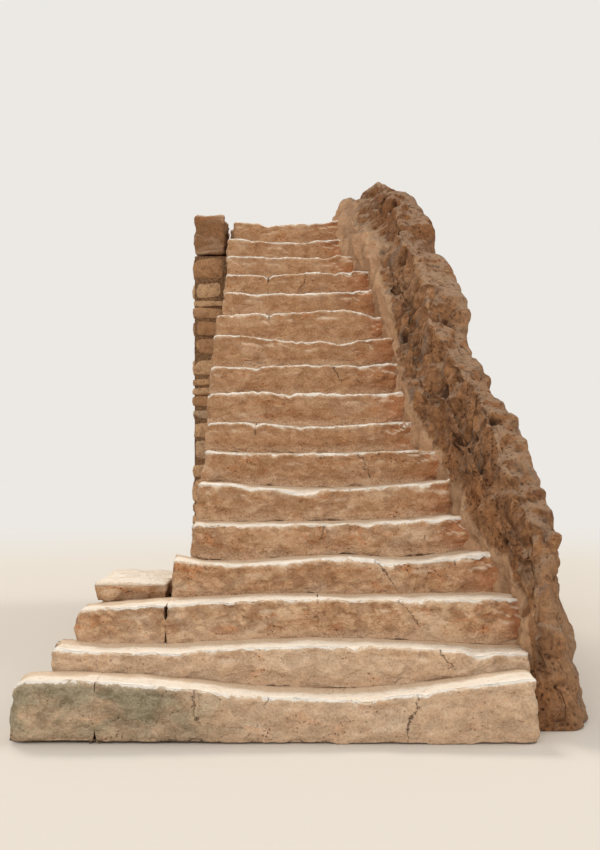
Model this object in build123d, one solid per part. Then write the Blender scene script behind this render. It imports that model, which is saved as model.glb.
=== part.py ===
from build123d import *
import os
from dataclasses import dataclass

# A worn flight of limestone steps, laid on a rubble bed between a free left
# flank and a hewn rock bank on the right. X is to the right of someone who
# climbs the steps, Y is the way they climb, Z is up. Sizes are millimetres.
# While building, Y = 0 is the face of the first step and X = 0 is the middle
# of the upper flight; the finished steps are then centred on their own base.

# The flight
RISER = 200
GOING = 300
SEAT = 60
NOSING_RADIUS = 28
STONE_JOINT = 4

# The landing at the top
LANDING_DEPTH = 540
LANDING_JOINT_X = -130
LANDING_JOINT = 6

# The walls under the steps
FLANK_X = -640
FLANK_THICKNESS = 350
BACK_WALL_THICKNESS = 350
BED_INSET = 20

# The low side landing on the left, at the third step
SIDE_STEP = 3
SIDE_RISE = 60
SIDE_SLAB = 130
SIDE_DEPTH = 740
SIDE_LEFT = -1170
SIDE_CLEAR = 10
SIDE_EDGE_RADIUS = 18

# The rubble pier and kerb stones at the top left
PIER_LEFT = -930
PIER_LENGTH = 1100
PIER_DROP = 320
KERB_INSET = 90
KERB_HEIGHT = 370
KERB_LENGTH = 480
KERB_JOINT = 8
KERB_EDGE_RADIUS = 30

# The rock bank on the right: its face leans back from a line that starts
# this far inside the steps' ends and this far over the step's level
BANK_LEAN_INSET = 60
BANK_LEAN_START = 60

# A ledge along the leaning face, and the groove over it, each with its place
# and how far it stands out, as shares of the face's own length
LEDGE_PLACE = 0.34
LEDGE_OUT = 0.06
GROOVE_PLACE = 0.48
GROOVE_OUT = -0.05

# How far cutting shapes run past what they cut
PAST = 400


@dataclass(frozen=True)
class Step:
    """One step. left and right are the X of its ends. lift holds the height of
    its worn top over the even level, at five even stations from end to end.
    bed is the height of its flat seat over the even level. joints holds the X
    of the joints between its stones, and corner is its left corner's radius."""

    left: float
    right: float
    lift: tuple
    bed: float
    joints: tuple = ()
    corner: float = NOSING_RADIUS


STEPS = (
    Step(-1440, 1180, (95, 92, 28, 42, 125), 30, (-1005,), 75),
    Step(-1290, 1180, (20, 0, 30, 20, -10), 25),
    Step(-1210, 1160, (-35, 12, 30, 30, 40), 30, (-723, 96)),
    Step(-730, 1080, (18, -12, 22, 10, 62), 25),
    Step(-650, 975, (-3, -6, 0, 8, 45), 0),
    Step(-640, 893, (27, 6, -12, 6, 40), 5),
    Step(-630, 854, (22, 8, 6, 14, 25), 10),
    Step(-632, 737, (2, 4, -20, -6, 15), 0, (-295,)),
    Step(-642, 703, (8, 12, 5, 0, 15), 5),
    Step(-646, 683, (8, 10, 22, 22, 37), 20),
    Step(-650, 672, (58, 42, 12, 14, 44), 35),
    Step(-640, 610, (36, 42, 60, 66, 30), 50, (-233,)),
    Step(-606, 561, (45, 36, 36, 44, 60), 45),
    Step(-610, 522, (32, 16, 30, 40, 55), 30, (-256,)),
    Step(-624, 425, (22, 14, 5, -3, 20), 15),
    Step(-640, 351, (16, -4, -22, -12, 2), 0),
    Step(-592, 335, (6, -12, -22, -4, 15), 0),
)
TOP = len(STEPS)


@dataclass(frozen=True)
class BankSection:
    """One section across the rock bank, at the face of a step. The upper edge
    of its hewn face stands set_back to the right of the step's end and rise
    over the step's level. From there the top is width wide and falls by drop,
    and the outer foot stands spread further out. Half way down, the outer face
    swells by swell beyond the straight line."""

    step: int
    set_back: float
    rise: float
    width: float
    drop: float
    spread: float
    swell: float


BANK = (
    BankSection(2, 30, 130, 150, 60, 90, -10),
    BankSection(3, 70, 450, 170, 80, 120, -30),
    BankSection(4, 110, 440, 200, 60, 130, 20),
    BankSection(6, 190, 580, 230, 90, 150, 50),
    BankSection(7, 150, 560, 270, 150, 170, -20),
    BankSection(9, 170, 520, 290, 140, 210, 40),
    BankSection(10, 195, 600, 260, 80, 250, -50),
    BankSection(11, 180, 590, 270, 110, 290, 10),
    BankSection(13, 190, 550, 290, 190, 270, 60),
    BankSection(14, 260, 600, 260, 120, 260, -40),
    BankSection(15, 290, 580, 260, 140, 290, 20),
    BankSection(17, 350, 360, 240, 170, 260, -40),
)
BANK_BACK = BankSection(17, 300, 430, 230, 110, 270, 30)

# Lines that follow from the sizes above
LAST_FACE_Y = (TOP - 1) * GOING
STEPS_END_Y = LAST_FACE_Y + GOING + SEAT
BACK_Y = STEPS_END_Y + LANDING_DEPTH
BACK_WALL_Y = BACK_Y - BACK_WALL_THICKNESS
CORE_LEFT = FLANK_X + FLANK_THICKNESS
BED_END_Y = SIDE_STEP * GOING + SEAT


def face_y(number):
    """Y of the front face of a step, counted from 1."""
    return (number - 1) * GOING


def bed_level(number):
    """Height of the flat seat of a step, counted from 1. Step 0 is the ground."""
    return number * RISER + STEPS[number - 1].bed if number else 0


def block(low, high):
    """A plain block between two corners."""
    size = [b - a for a, b in zip(low, high)]
    return Pos(*low) * Box(*size, align=(Align.MIN, Align.MIN, Align.MIN))


def bank_line():
    """The foot of the rock bank in plan, through the right end of each step."""
    ends = [(step.right, face_y(n)) for n, step in enumerate(STEPS, 1)]
    front = Line((STEPS[0].right, -PAST), ends[0])
    back = Line(ends[-1], (STEPS[-1].right, BACK_Y + PAST))
    along = Spline(*ends, tangents=((0, 1), (0, 1)))
    return front + along + back


def right_of_steps():
    """Everything right of the bank's foot, as a tall block that cuts."""
    foot = bank_line()
    first, last = foot @ 0, foot @ 1
    far = STEPS[0].right + PAST * 2
    around = Polyline(last, (far, last.Y), (far, first.Y), first)
    return extrude(make_face(foot + around), bed_level(TOP) + PAST * 2)


def step_body(number, beyond_bank):
    """One step as a single stone: a worn top over the tread, and a flat seat
    that runs under the next step. The last step is worn over its whole top."""
    step = STEPS[number - 1]
    bottom = bed_level(number - 1)
    right = step.right + PAST
    start = face_y(number)
    depth = GOING if number < TOP else GOING + SEAT
    stations = len(step.lift) - 1
    top = [
        (step.left + (step.right - step.left) * i / stations, number * RISER + lift)
        for i, lift in enumerate(step.lift)
    ]
    top.append((right, top[-1][1]))
    outline = [
        Spline(*top),
        Polyline(top[-1], (right, bottom), (step.left, bottom), top[0]),
    ]
    side_on = Plane.XZ * make_face(outline)
    body = Pos(0, start, 0) * extrude(side_on, depth, dir=(0, 1, 0))
    body = fillet(nosing_of(body, start, bottom), NOSING_RADIUS)
    body -= corner_waste(step, start)
    if number < TOP:
        end = start + depth
        body += block(
            (step.left, end, bottom), (right, end + SEAT, bed_level(number))
        )
    return body - beyond_bank


def nosing_of(body, start, bottom):
    """The long upper edge of a step's front face."""
    edges = [e for e in body.edges() if abs(e.center().Y - start) < 1]
    return [e for e in edges if min((e @ 0).Z, (e @ 1).Z) > bottom + 1]


def corner_waste(step, start):
    """What is worn away from the left front corner of a step."""
    radius = step.corner
    height = RISER * (TOP + 2)
    square = block(
        (step.left - 1, start - 1, 0), (step.left + radius, start + radius, height)
    )
    round_part = Pos(step.left + radius, start + radius, 0) * Cylinder(
        radius, height, align=(Align.CENTER, Align.CENTER, Align.MIN)
    )
    return square - round_part


def stones_of(number, beyond_bank):
    """The stones of one step, from left to right, with open joints between."""
    body = step_body(number, beyond_bank)
    low, high = body.bounding_box().min, body.bounding_box().max
    for x in STEPS[number - 1].joints:
        body -= block(
            (x - STONE_JOINT / 2, low.Y - 1, low.Z - 1),
            (x + STONE_JOINT / 2, high.Y + 1, high.Z + 1),
        )
    return sorted(body.solids(), key=lambda s: s.center().X)


def step_nodes(beyond_bank):
    """Every stone of every step, by name."""
    side_names = {1: ("",), 2: ("_left", "_right"), 3: ("_left", "_middle", "_right")}
    nodes = {}
    for number in range(1, TOP + 1):
        stones = stones_of(number, beyond_bank)
        for side, stone in zip(side_names[len(stones)], stones):
            nodes[f"step_{number:02d}{side}"] = stone
    return nodes


def stepped_block(left, right, first, last, back):
    """A wall whose top is stepped under the steps first to last, from the
    ground up. It starts behind the seat of the step before the first."""
    wall = None
    for number in range(first, last + 1):
        front = face_y(number) + SEAT
        layer = block((left, front, 0), (right, back, bed_level(number - 1)))
        wall = layer if wall is None else wall + layer
    return wall


def lower_bed(beyond_bank):
    """The bed under the second and third steps, as wide as they are."""
    right = STEPS[0].right + PAST
    bed = None
    for number in range(2, SIDE_STEP + 1):
        front = face_y(number) + SEAT
        layer = block(
            (STEPS[number - 1].left + BED_INSET, front, 0),
            (right, front + GOING, bed_level(number - 1)),
        )
        bed = layer if bed is None else bed + layer
    return bed - beyond_bank


def side_landing():
    """The sill, the slab behind it and their base, left of the flight."""
    right = STEPS[SIDE_STEP].left - SIDE_CLEAR
    slab_right = FLANK_X - SIDE_CLEAR
    slab_y = face_y(SIDE_STEP + 2) + SEAT
    end_y = BED_END_Y + SIDE_DEPTH
    top = bed_level(SIDE_STEP) + SIDE_RISE
    under = top - SIDE_SLAB
    sill = block((SIDE_LEFT, BED_END_Y, under), (right, slab_y, top))
    slab = block((SIDE_LEFT, slab_y + STONE_JOINT, under), (slab_right, end_y, top))
    base = block((SIDE_LEFT, BED_END_Y, 0), (FLANK_X, end_y, under))
    front = [
        e
        for e in sill.edges().filter_by(Axis.X)
        if e.center().Z > top - 1 and e.center().Y < slab_y - 1
    ]
    return {
        "side_sill": fillet(front, SIDE_EDGE_RADIUS),
        "side_slab": slab,
        "side_landing_base": base,
    }


def top_landing(beyond_bank):
    """Two paving stones behind the last step, level with its seat."""
    under, top = bed_level(TOP - 1), bed_level(TOP)
    right = STEPS[-1].right + PAST
    half = LANDING_JOINT / 2
    left_stone = block(
        (FLANK_X, STEPS_END_Y, under), (LANDING_JOINT_X - half, BACK_Y, top)
    )
    right_stone = block(
        (LANDING_JOINT_X + half, STEPS_END_Y, under), (right, BACK_Y, top)
    )
    return {
        "landing_left": left_stone,
        "landing_right": right_stone - beyond_bank,
    }


def top_left_kerb():
    """The rubble pier left of the landing, and the two kerb stones on it."""
    pier_top = bed_level(TOP) - PIER_DROP
    kerb_top = pier_top + KERB_HEIGHT
    pier_y = BACK_Y - PIER_LENGTH
    kerb_y = pier_y + KERB_INSET
    joint_y = kerb_y + KERB_LENGTH
    pier = block((PIER_LEFT, pier_y, 0), (FLANK_X, BACK_Y, pier_top))
    stones = []
    for front, back in ((kerb_y, joint_y), (joint_y + KERB_JOINT, BACK_Y)):
        stone = block((PIER_LEFT, front, pier_top), (FLANK_X, back, kerb_top))
        upper = [
            e
            for e in stone.edges()
            if e.center().Z > kerb_top - 1 or e.center().Y < front + 1
        ]
        upper = [e for e in upper if e.center().Z > pier_top + 1]
        stones.append(fillet(upper, KERB_EDGE_RADIUS))
    return {
        "left_rubble_pier": pier,
        "kerb_front": stones[0],
        "kerb_back": stones[1],
    }


def beside(start, end, place, out):
    """A point beside the line from start to end, as shares of its length: place
    along it and out to its left."""
    along = (end[0] - start[0], end[1] - start[1])
    return (
        start[0] + along[0] * place - along[1] * out,
        start[1] + along[1] * place + along[0] * out,
    )


def bank_corners(section, y):
    """The corners of one section of the bank, standing at y."""
    end = STEPS[section.step - 1].right
    level = section.step * RISER
    foot = (end - BANK_LEAN_INSET, level + BANK_LEAN_START)
    edge = (end + section.set_back, level + section.rise)
    shoulder = (edge[0] + section.width, edge[1] - section.drop)
    outer = (shoulder[0] + section.spread, 0)
    waist = ((shoulder[0] + outer[0]) / 2 + section.swell, shoulder[1] / 2)
    corners = [
        (end - PAST, 0),
        foot,
        beside(foot, edge, LEDGE_PLACE, LEDGE_OUT),
        beside(foot, edge, GROOVE_PLACE, GROOVE_OUT),
        edge,
        shoulder,
        waist,
        outer,
    ]
    return [(x, y, z) for x, z in corners]


def facet(*corners):
    """One flat face between its corners."""
    return make_face(Polyline(*corners, close=True))


def rock_bank(beyond_bank):
    """The hewn bank that the right ends of the steps die into: a body of flat
    facets, two between each pair of neighbouring section edges."""
    rings = [bank_corners(s, face_y(s.step)) for s in BANK]
    rings.append(bank_corners(BANK_BACK, BACK_Y))
    facets = [facet(*rings[0]), facet(*rings[-1])]
    for near, far in zip(rings, rings[1:]):
        for i in range(len(near)):
            facets.append(facet(near[i - 1], near[i], far[i]))
            facets.append(facet(near[i - 1], far[i], far[i - 1]))
    return Solid(Shell(facets)) & beyond_bank


def build():
    """Every piece by name, in the building frame."""
    beyond_bank = right_of_steps()
    nodes = step_nodes(beyond_bank)
    nodes.update(side_landing())
    nodes.update(top_landing(beyond_bank))
    nodes.update(top_left_kerb())
    nodes["lower_bed"] = lower_bed(beyond_bank)
    nodes["left_flank_wall"] = stepped_block(
        FLANK_X, CORE_LEFT, SIDE_STEP + 1, TOP, BACK_WALL_Y
    )
    core = stepped_block(CORE_LEFT, STEPS[0].right + PAST, SIDE_STEP + 1, TOP, BACK_WALL_Y)
    nodes["rubble_core"] = core - beyond_bank
    back = block(
        (FLANK_X, BACK_WALL_Y, 0), (STEPS[0].right, BACK_Y, bed_level(TOP - 1))
    )
    nodes["back_wall"] = back - beyond_bank
    nodes["right_rock_bank"] = rock_bank(beyond_bank)
    return nodes


def centred(nodes):
    """The pieces moved so that the middle of their base is the origin."""
    boxes = [piece.bounding_box() for piece in nodes.values()]
    low_x, high_x = min(b.min.X for b in boxes), max(b.max.X for b in boxes)
    low_y, high_y = min(b.min.Y for b in boxes), max(b.max.Y for b in boxes)
    shift = Pos(-(low_x + high_x) / 2, -(low_y + high_y) / 2, 0)
    return {name: shift * piece for name, piece in nodes.items()}


os.makedirs("parts", exist_ok=True)
for name, piece in centred(build()).items():
    export_step(piece, f"parts/{name}.step")
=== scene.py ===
"""The looks of a worn flight of outdoor stone steps, in the frame of its solids.

X runs to the right of someone who climbs the steps, Y the way they climb and Z
up. Every length is in metres. Each visible piece stands for one of the frame's
nodes and takes its place and size from it.
"""

import logging
import math
from collections.abc import Iterator
from dataclasses import dataclass
from enum import Enum
from functools import cache

import bpy
import numpy as np
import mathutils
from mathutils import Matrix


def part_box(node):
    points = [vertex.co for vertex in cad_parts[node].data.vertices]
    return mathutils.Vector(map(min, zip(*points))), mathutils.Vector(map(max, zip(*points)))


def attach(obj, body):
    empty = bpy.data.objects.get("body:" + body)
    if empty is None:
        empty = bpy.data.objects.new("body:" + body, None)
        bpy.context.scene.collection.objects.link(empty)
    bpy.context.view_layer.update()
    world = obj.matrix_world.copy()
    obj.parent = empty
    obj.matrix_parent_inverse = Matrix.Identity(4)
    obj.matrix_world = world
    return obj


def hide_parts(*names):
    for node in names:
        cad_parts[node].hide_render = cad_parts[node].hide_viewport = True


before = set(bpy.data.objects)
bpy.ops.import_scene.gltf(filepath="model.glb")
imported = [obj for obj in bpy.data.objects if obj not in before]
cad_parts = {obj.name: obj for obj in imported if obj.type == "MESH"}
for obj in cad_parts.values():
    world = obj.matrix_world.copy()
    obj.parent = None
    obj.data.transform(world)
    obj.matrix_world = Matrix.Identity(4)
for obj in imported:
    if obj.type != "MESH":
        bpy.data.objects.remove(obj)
log = logging.getLogger("steps")

Array = np.ndarray
Socket = bpy.types.NodeSocket
Vector = tuple[float, float, float]
Colour = tuple[float, float, float]

# What can go into a socket of a material
Value = Socket | float | Vector

# The flight, as the solids have it: the depth of a step and of its rounded
# nosing, the number of steps, and how far its middle lies from X = 0
GOING = 0.300
NOSING = 0.028
STEP_COUNT = 17
SHIFT_X = -0.040

# How finely the surfaces are divided: from section to section, round a worn
# end, and the points in the rounding of a corner
COLUMN = 0.0095
TURN = 0.004
ROUNDING_POINTS = 7


def tone(red: float, green: float, blue: float) -> Colour:
    """Makes a screen colour linear.

    Args:
        red: Its red, from 0 to 255.
        green: Its green, from 0 to 255.
        blue: Its blue, from 0 to 255.

    Returns:
        The linear colour, from 0 to 1.
    """
    values = np.array((red, green, blue)) / 255
    linear = np.where(values > 0.04045, ((values + 0.055) / 1.055) ** 2.4, values / 12.92)
    return tuple(float(v) for v in linear)


def smooth(values: Array, low: float, high: float) -> Array:
    """Rises from 0 at low to 1 at high along a smooth S curve."""
    t = np.clip((values - low) / (high - low), 0, 1)
    return t * t * (3 - 2 * t)


def bell(values: Array, width: float) -> Array:
    """The exponential of minus the square of values / width."""
    return np.exp(-((values / width) ** 2))


@dataclass(frozen=True)
class Noise:
    """Smooth seeded noise in space, the same at each run."""

    seed: int

    def lattice(self, cells: Array, salt: int = 0) -> Array:
        """A number from 0 to 1 for each whole cell, by mixing its coordinates.

        Args:
            cells: Whole coordinates, with the last axis X, Y, Z.
            salt: Makes a second, unrelated number for the same cell.

        Returns:
            One value for each cell.
        """
        mixed = cells[..., 0] * 73856093 ^ cells[..., 1] * 19349663
        mixed = mixed ^ cells[..., 2] * 83492791 ^ (self.seed * 7919 + salt * 104729)
        mixed = (mixed ^ (mixed >> 13)) * 1274126177
        mixed = (mixed ^ (mixed >> 15)) * 668265263
        return ((mixed ^ (mixed >> 16)) & 0xFFFFFF) / 0xFFFFFF

    def triple(self, cells: Array, salt: int) -> Array:
        """Three numbers from 0 to 1 for each whole cell."""
        return np.stack([self.lattice(cells, salt + k) for k in range(3)], -1)

    def layer(self, points: Array, size: float) -> Array:
        """Lattice values blended smoothly between the eight corners around each
        point.

        Args:
            points: The points, with the last axis X, Y, Z.
            size: About how wide a feature is.

        Returns:
            One value for each point, from -1 to 1.
        """
        scaled = points / size
        base = np.floor(scaled).astype(np.int64)
        part = scaled - base
        fade = part**3 * (part * (part * 6 - 15) + 10)
        total = np.zeros(points.shape[:-1])
        for corner in np.ndindex(2, 2, 2):
            near = np.where(np.array(corner) == 1, fade, 1 - fade)
            total += near.prod(-1) * self.lattice(base + np.array(corner))
        return total * 2 - 1

    def cloud(self, points: Array, size: float, layers: int = 3) -> Array:
        """Layers of noise added up, each half as wide and half as strong as the
        last and turned against it.

        Args:
            points: The points, with the last axis X, Y, Z.
            size: About how wide the widest features are.
            layers: How many layers there are.

        Returns:
            One value for each point. Four in five lie within 0.65 of 0.
        """
        turn = np.array(((0.36, 0.48, -0.8), (-0.8, 0.6, 0.0), (0.48, 0.64, 0.6)))
        total, strength, here = np.zeros(points.shape[:-1]), 1.0, points @ turn
        for _ in range(layers):
            total += strength * self.layer(here + 31.7 * strength, size)
            here, size, strength = here @ turn, size / 2, strength / 2
        return total

    def around(self, points: Array, size: float) -> Iterator[tuple[Array, Array]]:
        """The 27 cells around each point.

        Args:
            points: The points, with the last axis X, Y, Z.
            size: How wide a cell is.

        Returns:
            The cells one by one, each with the way to the point from the place
            scattered in that cell, in cells.
        """
        scaled = points / size
        base = np.floor(scaled).astype(np.int64)
        for offset in np.ndindex(3, 3, 3):
            cell = base + np.array(offset) - 1
            yield cell, scaled - cell - self.triple(cell, 1)

    def cells(self, points: Array, size: float) -> tuple[Array, Array]:
        """The nearest scattered place to each point.

        Args:
            points: The points, with the last axis X, Y, Z.
            size: About how far apart the places are.

        Returns:
            How far it is away, as a share of size, and a number from 0 to 1 that
            belongs to it.
        """
        nearest, owner = np.full(points.shape[:-1], 9.0), np.zeros(points.shape[:-1])
        for cell, way in self.around(points, size):
            distance = np.linalg.norm(way, axis=-1)
            owner = np.where(distance < nearest, self.lattice(cell, 4), owner)
            nearest = np.minimum(distance, nearest)
        return nearest, owner

    def facets(self, points: Array, size: float, sharp: float = 13.0) -> Array:
        """Broken planes: each scattered place owns a plane with its own height
        and tilt, and planes are averaged with weights that fall off as the
        exponential of minus sharp times the distance in cells.

        Args:
            points: The points, with the last axis X, Y, Z.
            size: About how wide a plane is.
            sharp: How sharp the edges between the planes are.

        Returns:
            One value for each point. Four in five lie within 0.5 of 0.
        """
        total, weights = np.zeros(points.shape[:-1]), np.zeros(points.shape[:-1])
        for cell, way in self.around(points, size):
            tilt = self.triple(cell, 5) * 2 - 1
            plane = 1.2 * self.lattice(cell, 4) - 0.6 + (way * tilt).sum(-1)
            weight = np.exp(-sharp * np.linalg.norm(way, axis=-1))
            total, weights = total + weight * plane, weights + weight
        return total / weights


def placed(name: str, data: bpy.types.ID) -> bpy.types.Object:
    """Puts a new object into the scene.

    Args:
        name: Its name.
        data: The mesh, lamp or camera that it shows.

    Returns:
        The object.
    """
    item = bpy.data.objects.new(name, data)
    bpy.context.scene.collection.objects.link(item)
    return item


@dataclass
class Shell:
    """A closed surface: its points, its faces of four and of three corners, and
    named values at its points that the relief and the finishes read."""

    points: Array
    quads: Array
    tris: Array
    marks: dict[str, Array]

    @classmethod
    def joined(cls, shells: list["Shell"]) -> "Shell":
        """Several shells as one, each with its own faces.

        Args:
            shells: The shells, which all carry the same marks.

        Returns:
            The one shell.
        """
        starts = np.cumsum([0] + [len(s.points) for s in shells[:-1]])
        return cls(
            np.concatenate([s.points for s in shells]),
            np.concatenate([s.quads + start for s, start in zip(shells, starts)]),
            np.concatenate([s.tris + start for s, start in zip(shells, starts)]),
            {n: np.concatenate([s.marks[n] for s in shells]) for n in shells[0].marks},
        )

    def triangles(self) -> tuple[Array, Array]:
        """All faces cut into triangles.

        Returns:
            The corners of each triangle, and where they are, as corner, triangle
            and X, Y, Z.
        """
        halves = [self.quads[:, (0, 1, 2)], self.quads[:, (0, 2, 3)]]
        corners = np.concatenate([*halves, self.tris])
        return corners, self.points[corners].swapaxes(0, 1)

    def facing_out(self) -> "Shell":
        """Turns the faces so that the signed volume, the sum of the corner
        products of the triangles, is above zero.

        Returns:
            The shell itself.
        """
        a, b, c = self.triangles()[1]
        if np.einsum("ij,ij->", a, np.cross(b, c)) < 0:
            self.quads, self.tris = self.quads[:, ::-1], self.tris[:, ::-1]
        return self

    def normals(self) -> Array:
        """The way that the surface looks at each point: the sum of the normals of
        the triangles there, each as long as twice its triangle's area.

        Returns:
            The unit normals.
        """
        corners, (a, b, c) = self.triangles()
        flat, count = np.cross(b - a, c - a), len(self.points)
        sums = [np.bincount(corners.ravel(), np.repeat(n, 3), count) for n in flat.T]
        total = np.stack(sums, -1)
        return total / np.maximum(np.linalg.norm(total, axis=1), 1e-12)[:, None]

    def displace(self, amount: Array) -> "Shell":
        """Moves each point along its normal by its own amount."""
        self.points = self.points + self.normals() * amount[:, None]
        return self

    def show(self, name: str, finish: bpy.types.Material, slot: str, node: str) -> None:
        """Puts the shell into the scene in place of a node.

        Args:
            name: The name of the new piece, a smooth-shaded mesh object.
            finish: Its material.
            slot: The record's material slot that it belongs to. It is not used.
            node: The node that it stands for.
        """
        self.points = np.clip(self.points, *limits())
        self.facing_out()
        quads, tris = len(self.quads), len(self.tris)
        corners = np.concatenate([self.quads.ravel(), self.tris.ravel()])
        starts = np.concatenate([np.arange(quads) * 4, quads * 4 + np.arange(tris) * 3])
        mesh = bpy.data.meshes.new(name)
        mesh.vertices.add(len(self.points))
        mesh.vertices.foreach_set("co", self.points.astype(np.float32).ravel())
        mesh.loops.add(len(corners))
        mesh.loops.foreach_set("vertex_index", corners.astype(np.int32))
        mesh.polygons.add(len(starts))
        mesh.polygons.foreach_set("loop_start", starts.astype(np.int32))
        mesh.polygons.foreach_set("use_smooth", np.ones(len(starts), bool))
        for mark, values in self.marks.items():
            layer = mesh.attributes.new(mark, "FLOAT", "POINT")
            layer.data.foreach_set("value", values.astype(np.float32))
        mesh.update(calc_edges=True)
        mesh.validate()
        mesh.materials.append(finish)
        piece = placed(name, mesh)
        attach(piece, "root")
        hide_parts(node)
        log.info("%s: %d triangles for %s", name, 2 * quads + tris, node)


def closed_tube(rings: Array, marks: dict[str, Array], cap: int) -> Shell:
    """A tube through a row of closed rings, with an end closed by rings that
    shrink to a point. Ring k of a cap is the end ring scaled about its middle
    by 1 - k / cap, and the marks fade there by the fourth power of that.

    Args:
        rings: The points, as ring, point on the ring, and X, Y, Z.
        marks: Named values, as ring and point on the ring.
        cap: How many rings close each end.

    Returns:
        The closed shell.
    """
    count, middles = rings.shape[1], rings[[0, -1]].mean(1)
    scales = (1 - np.arange(1, cap) / cap)[:, None]
    fade = scales**4
    front = middles[0] + (rings[0] - middles[0]) * scales[::-1, :, None]
    back = middles[1] + (rings[-1] - middles[1]) * scales[..., None]
    grid = np.concatenate([front, rings, back])
    spread = {n: np.concatenate([fade[::-1] * v[0], v, fade * v[-1]]) for n, v in marks.items()}
    rows = np.arange(len(grid) - 1)[:, None] * count
    here = np.arange(count)
    after = (here + 1) % count
    square = [rows + here, rows + after, rows + count + after, rows + count + here]
    last, pole = rows[-1, 0] + count, len(grid) * count
    fans = ((np.full(count, pole), after, here), (np.full(count, pole + 1), last + here, last + after))
    return Shell(
        np.concatenate([grid.reshape(-1, 3), middles]),
        np.stack(square, -1).reshape(-1, 4),
        np.concatenate([np.stack(fan, -1) for fan in fans]),
        {n: np.concatenate([v.ravel(), [0.0, 0.0]]) for n, v in spread.items()},
    ).facing_out()


@dataclass(frozen=True)
class Run:
    """One straight run of a section, from its corner to the next: how many
    points it gets, how rough it is, and how large the rounding of its first
    corner is. Points crowd towards the corner as crowd rises above 1."""

    count: int
    rough: float = 1.0
    rounding: float = 0.0
    crowd: float = 1.0


def section(corners: Array, runs: list[Run]) -> tuple[Array, Array]:
    """Closed outlines with rounded corners, one for each row of corners. A
    corner is a curve of the second degree through its two tangent points, which
    stay within 0.45 of the shorter run beside it.

    Args:
        corners: The corners, as outline, corner, and two coordinates.
        runs: The run that starts at each corner.

    Returns:
        The points, as outline, point and two coordinates, and the roughness at
        each point of an outline.
    """
    spans = np.roll(corners, -1, axis=1) - corners
    lengths = np.maximum(np.linalg.norm(spans, axis=-1), 1e-9)
    ways = spans / lengths[..., None]
    room = 0.45 * np.minimum(lengths, np.roll(lengths, 1, axis=1))
    reaches = np.minimum(room, [run.rounding for run in runs])[..., None]
    bend = np.linspace(0, 1, ROUNDING_POINTS)[None, :, None]
    points, rough = [], []
    for i, run in enumerate(runs):
        here, after = corners[:, i], (i + 1) % len(runs)
        start = here + ways[:, i] * reaches[:, i]
        end = corners[:, after] - ways[:, i] * reaches[:, after]
        if run.rounding:
            first = here - ways[:, i - 1] * reaches[:, i]
            a, b, c = (v[:, None] for v in (first, here, start))
            points.append((1 - bend) ** 2 * a + 2 * bend * (1 - bend) * b + bend**2 * c)
            rough.append(np.full(ROUNDING_POINTS, max(run.rough, runs[i - 1].rough)))
        skipped = 1 if run.rounding else 0
        steps = (np.arange(run.count) + skipped) / (run.count + skipped)
        steps = (steps**run.crowd)[None, :, None]
        points.append(start[:, None] * (1 - steps) + end[:, None] * steps)
        rough.append(np.full(run.count, run.rough))
    return np.concatenate(points, 1), np.concatenate(rough)


def carried(places: Array, outline: Array, axis: int) -> Array:
    """Outlines in the two other coordinates placed along an axis."""
    along = np.broadcast_to(places[:, None, None], outline.shape[:2] + (1,))
    return np.concatenate([outline[..., :axis], along, outline[..., axis:]], -1)


def pairs(*values: tuple[Array | float, Array | float]) -> Array:
    """Corners as outline, corner and two coordinates, from pairs of numbers or arrays."""
    flat = np.stack(np.broadcast_arrays(*(v for pair in values for v in pair)), -1)
    return flat.reshape(len(flat), -1, 2)


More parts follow.
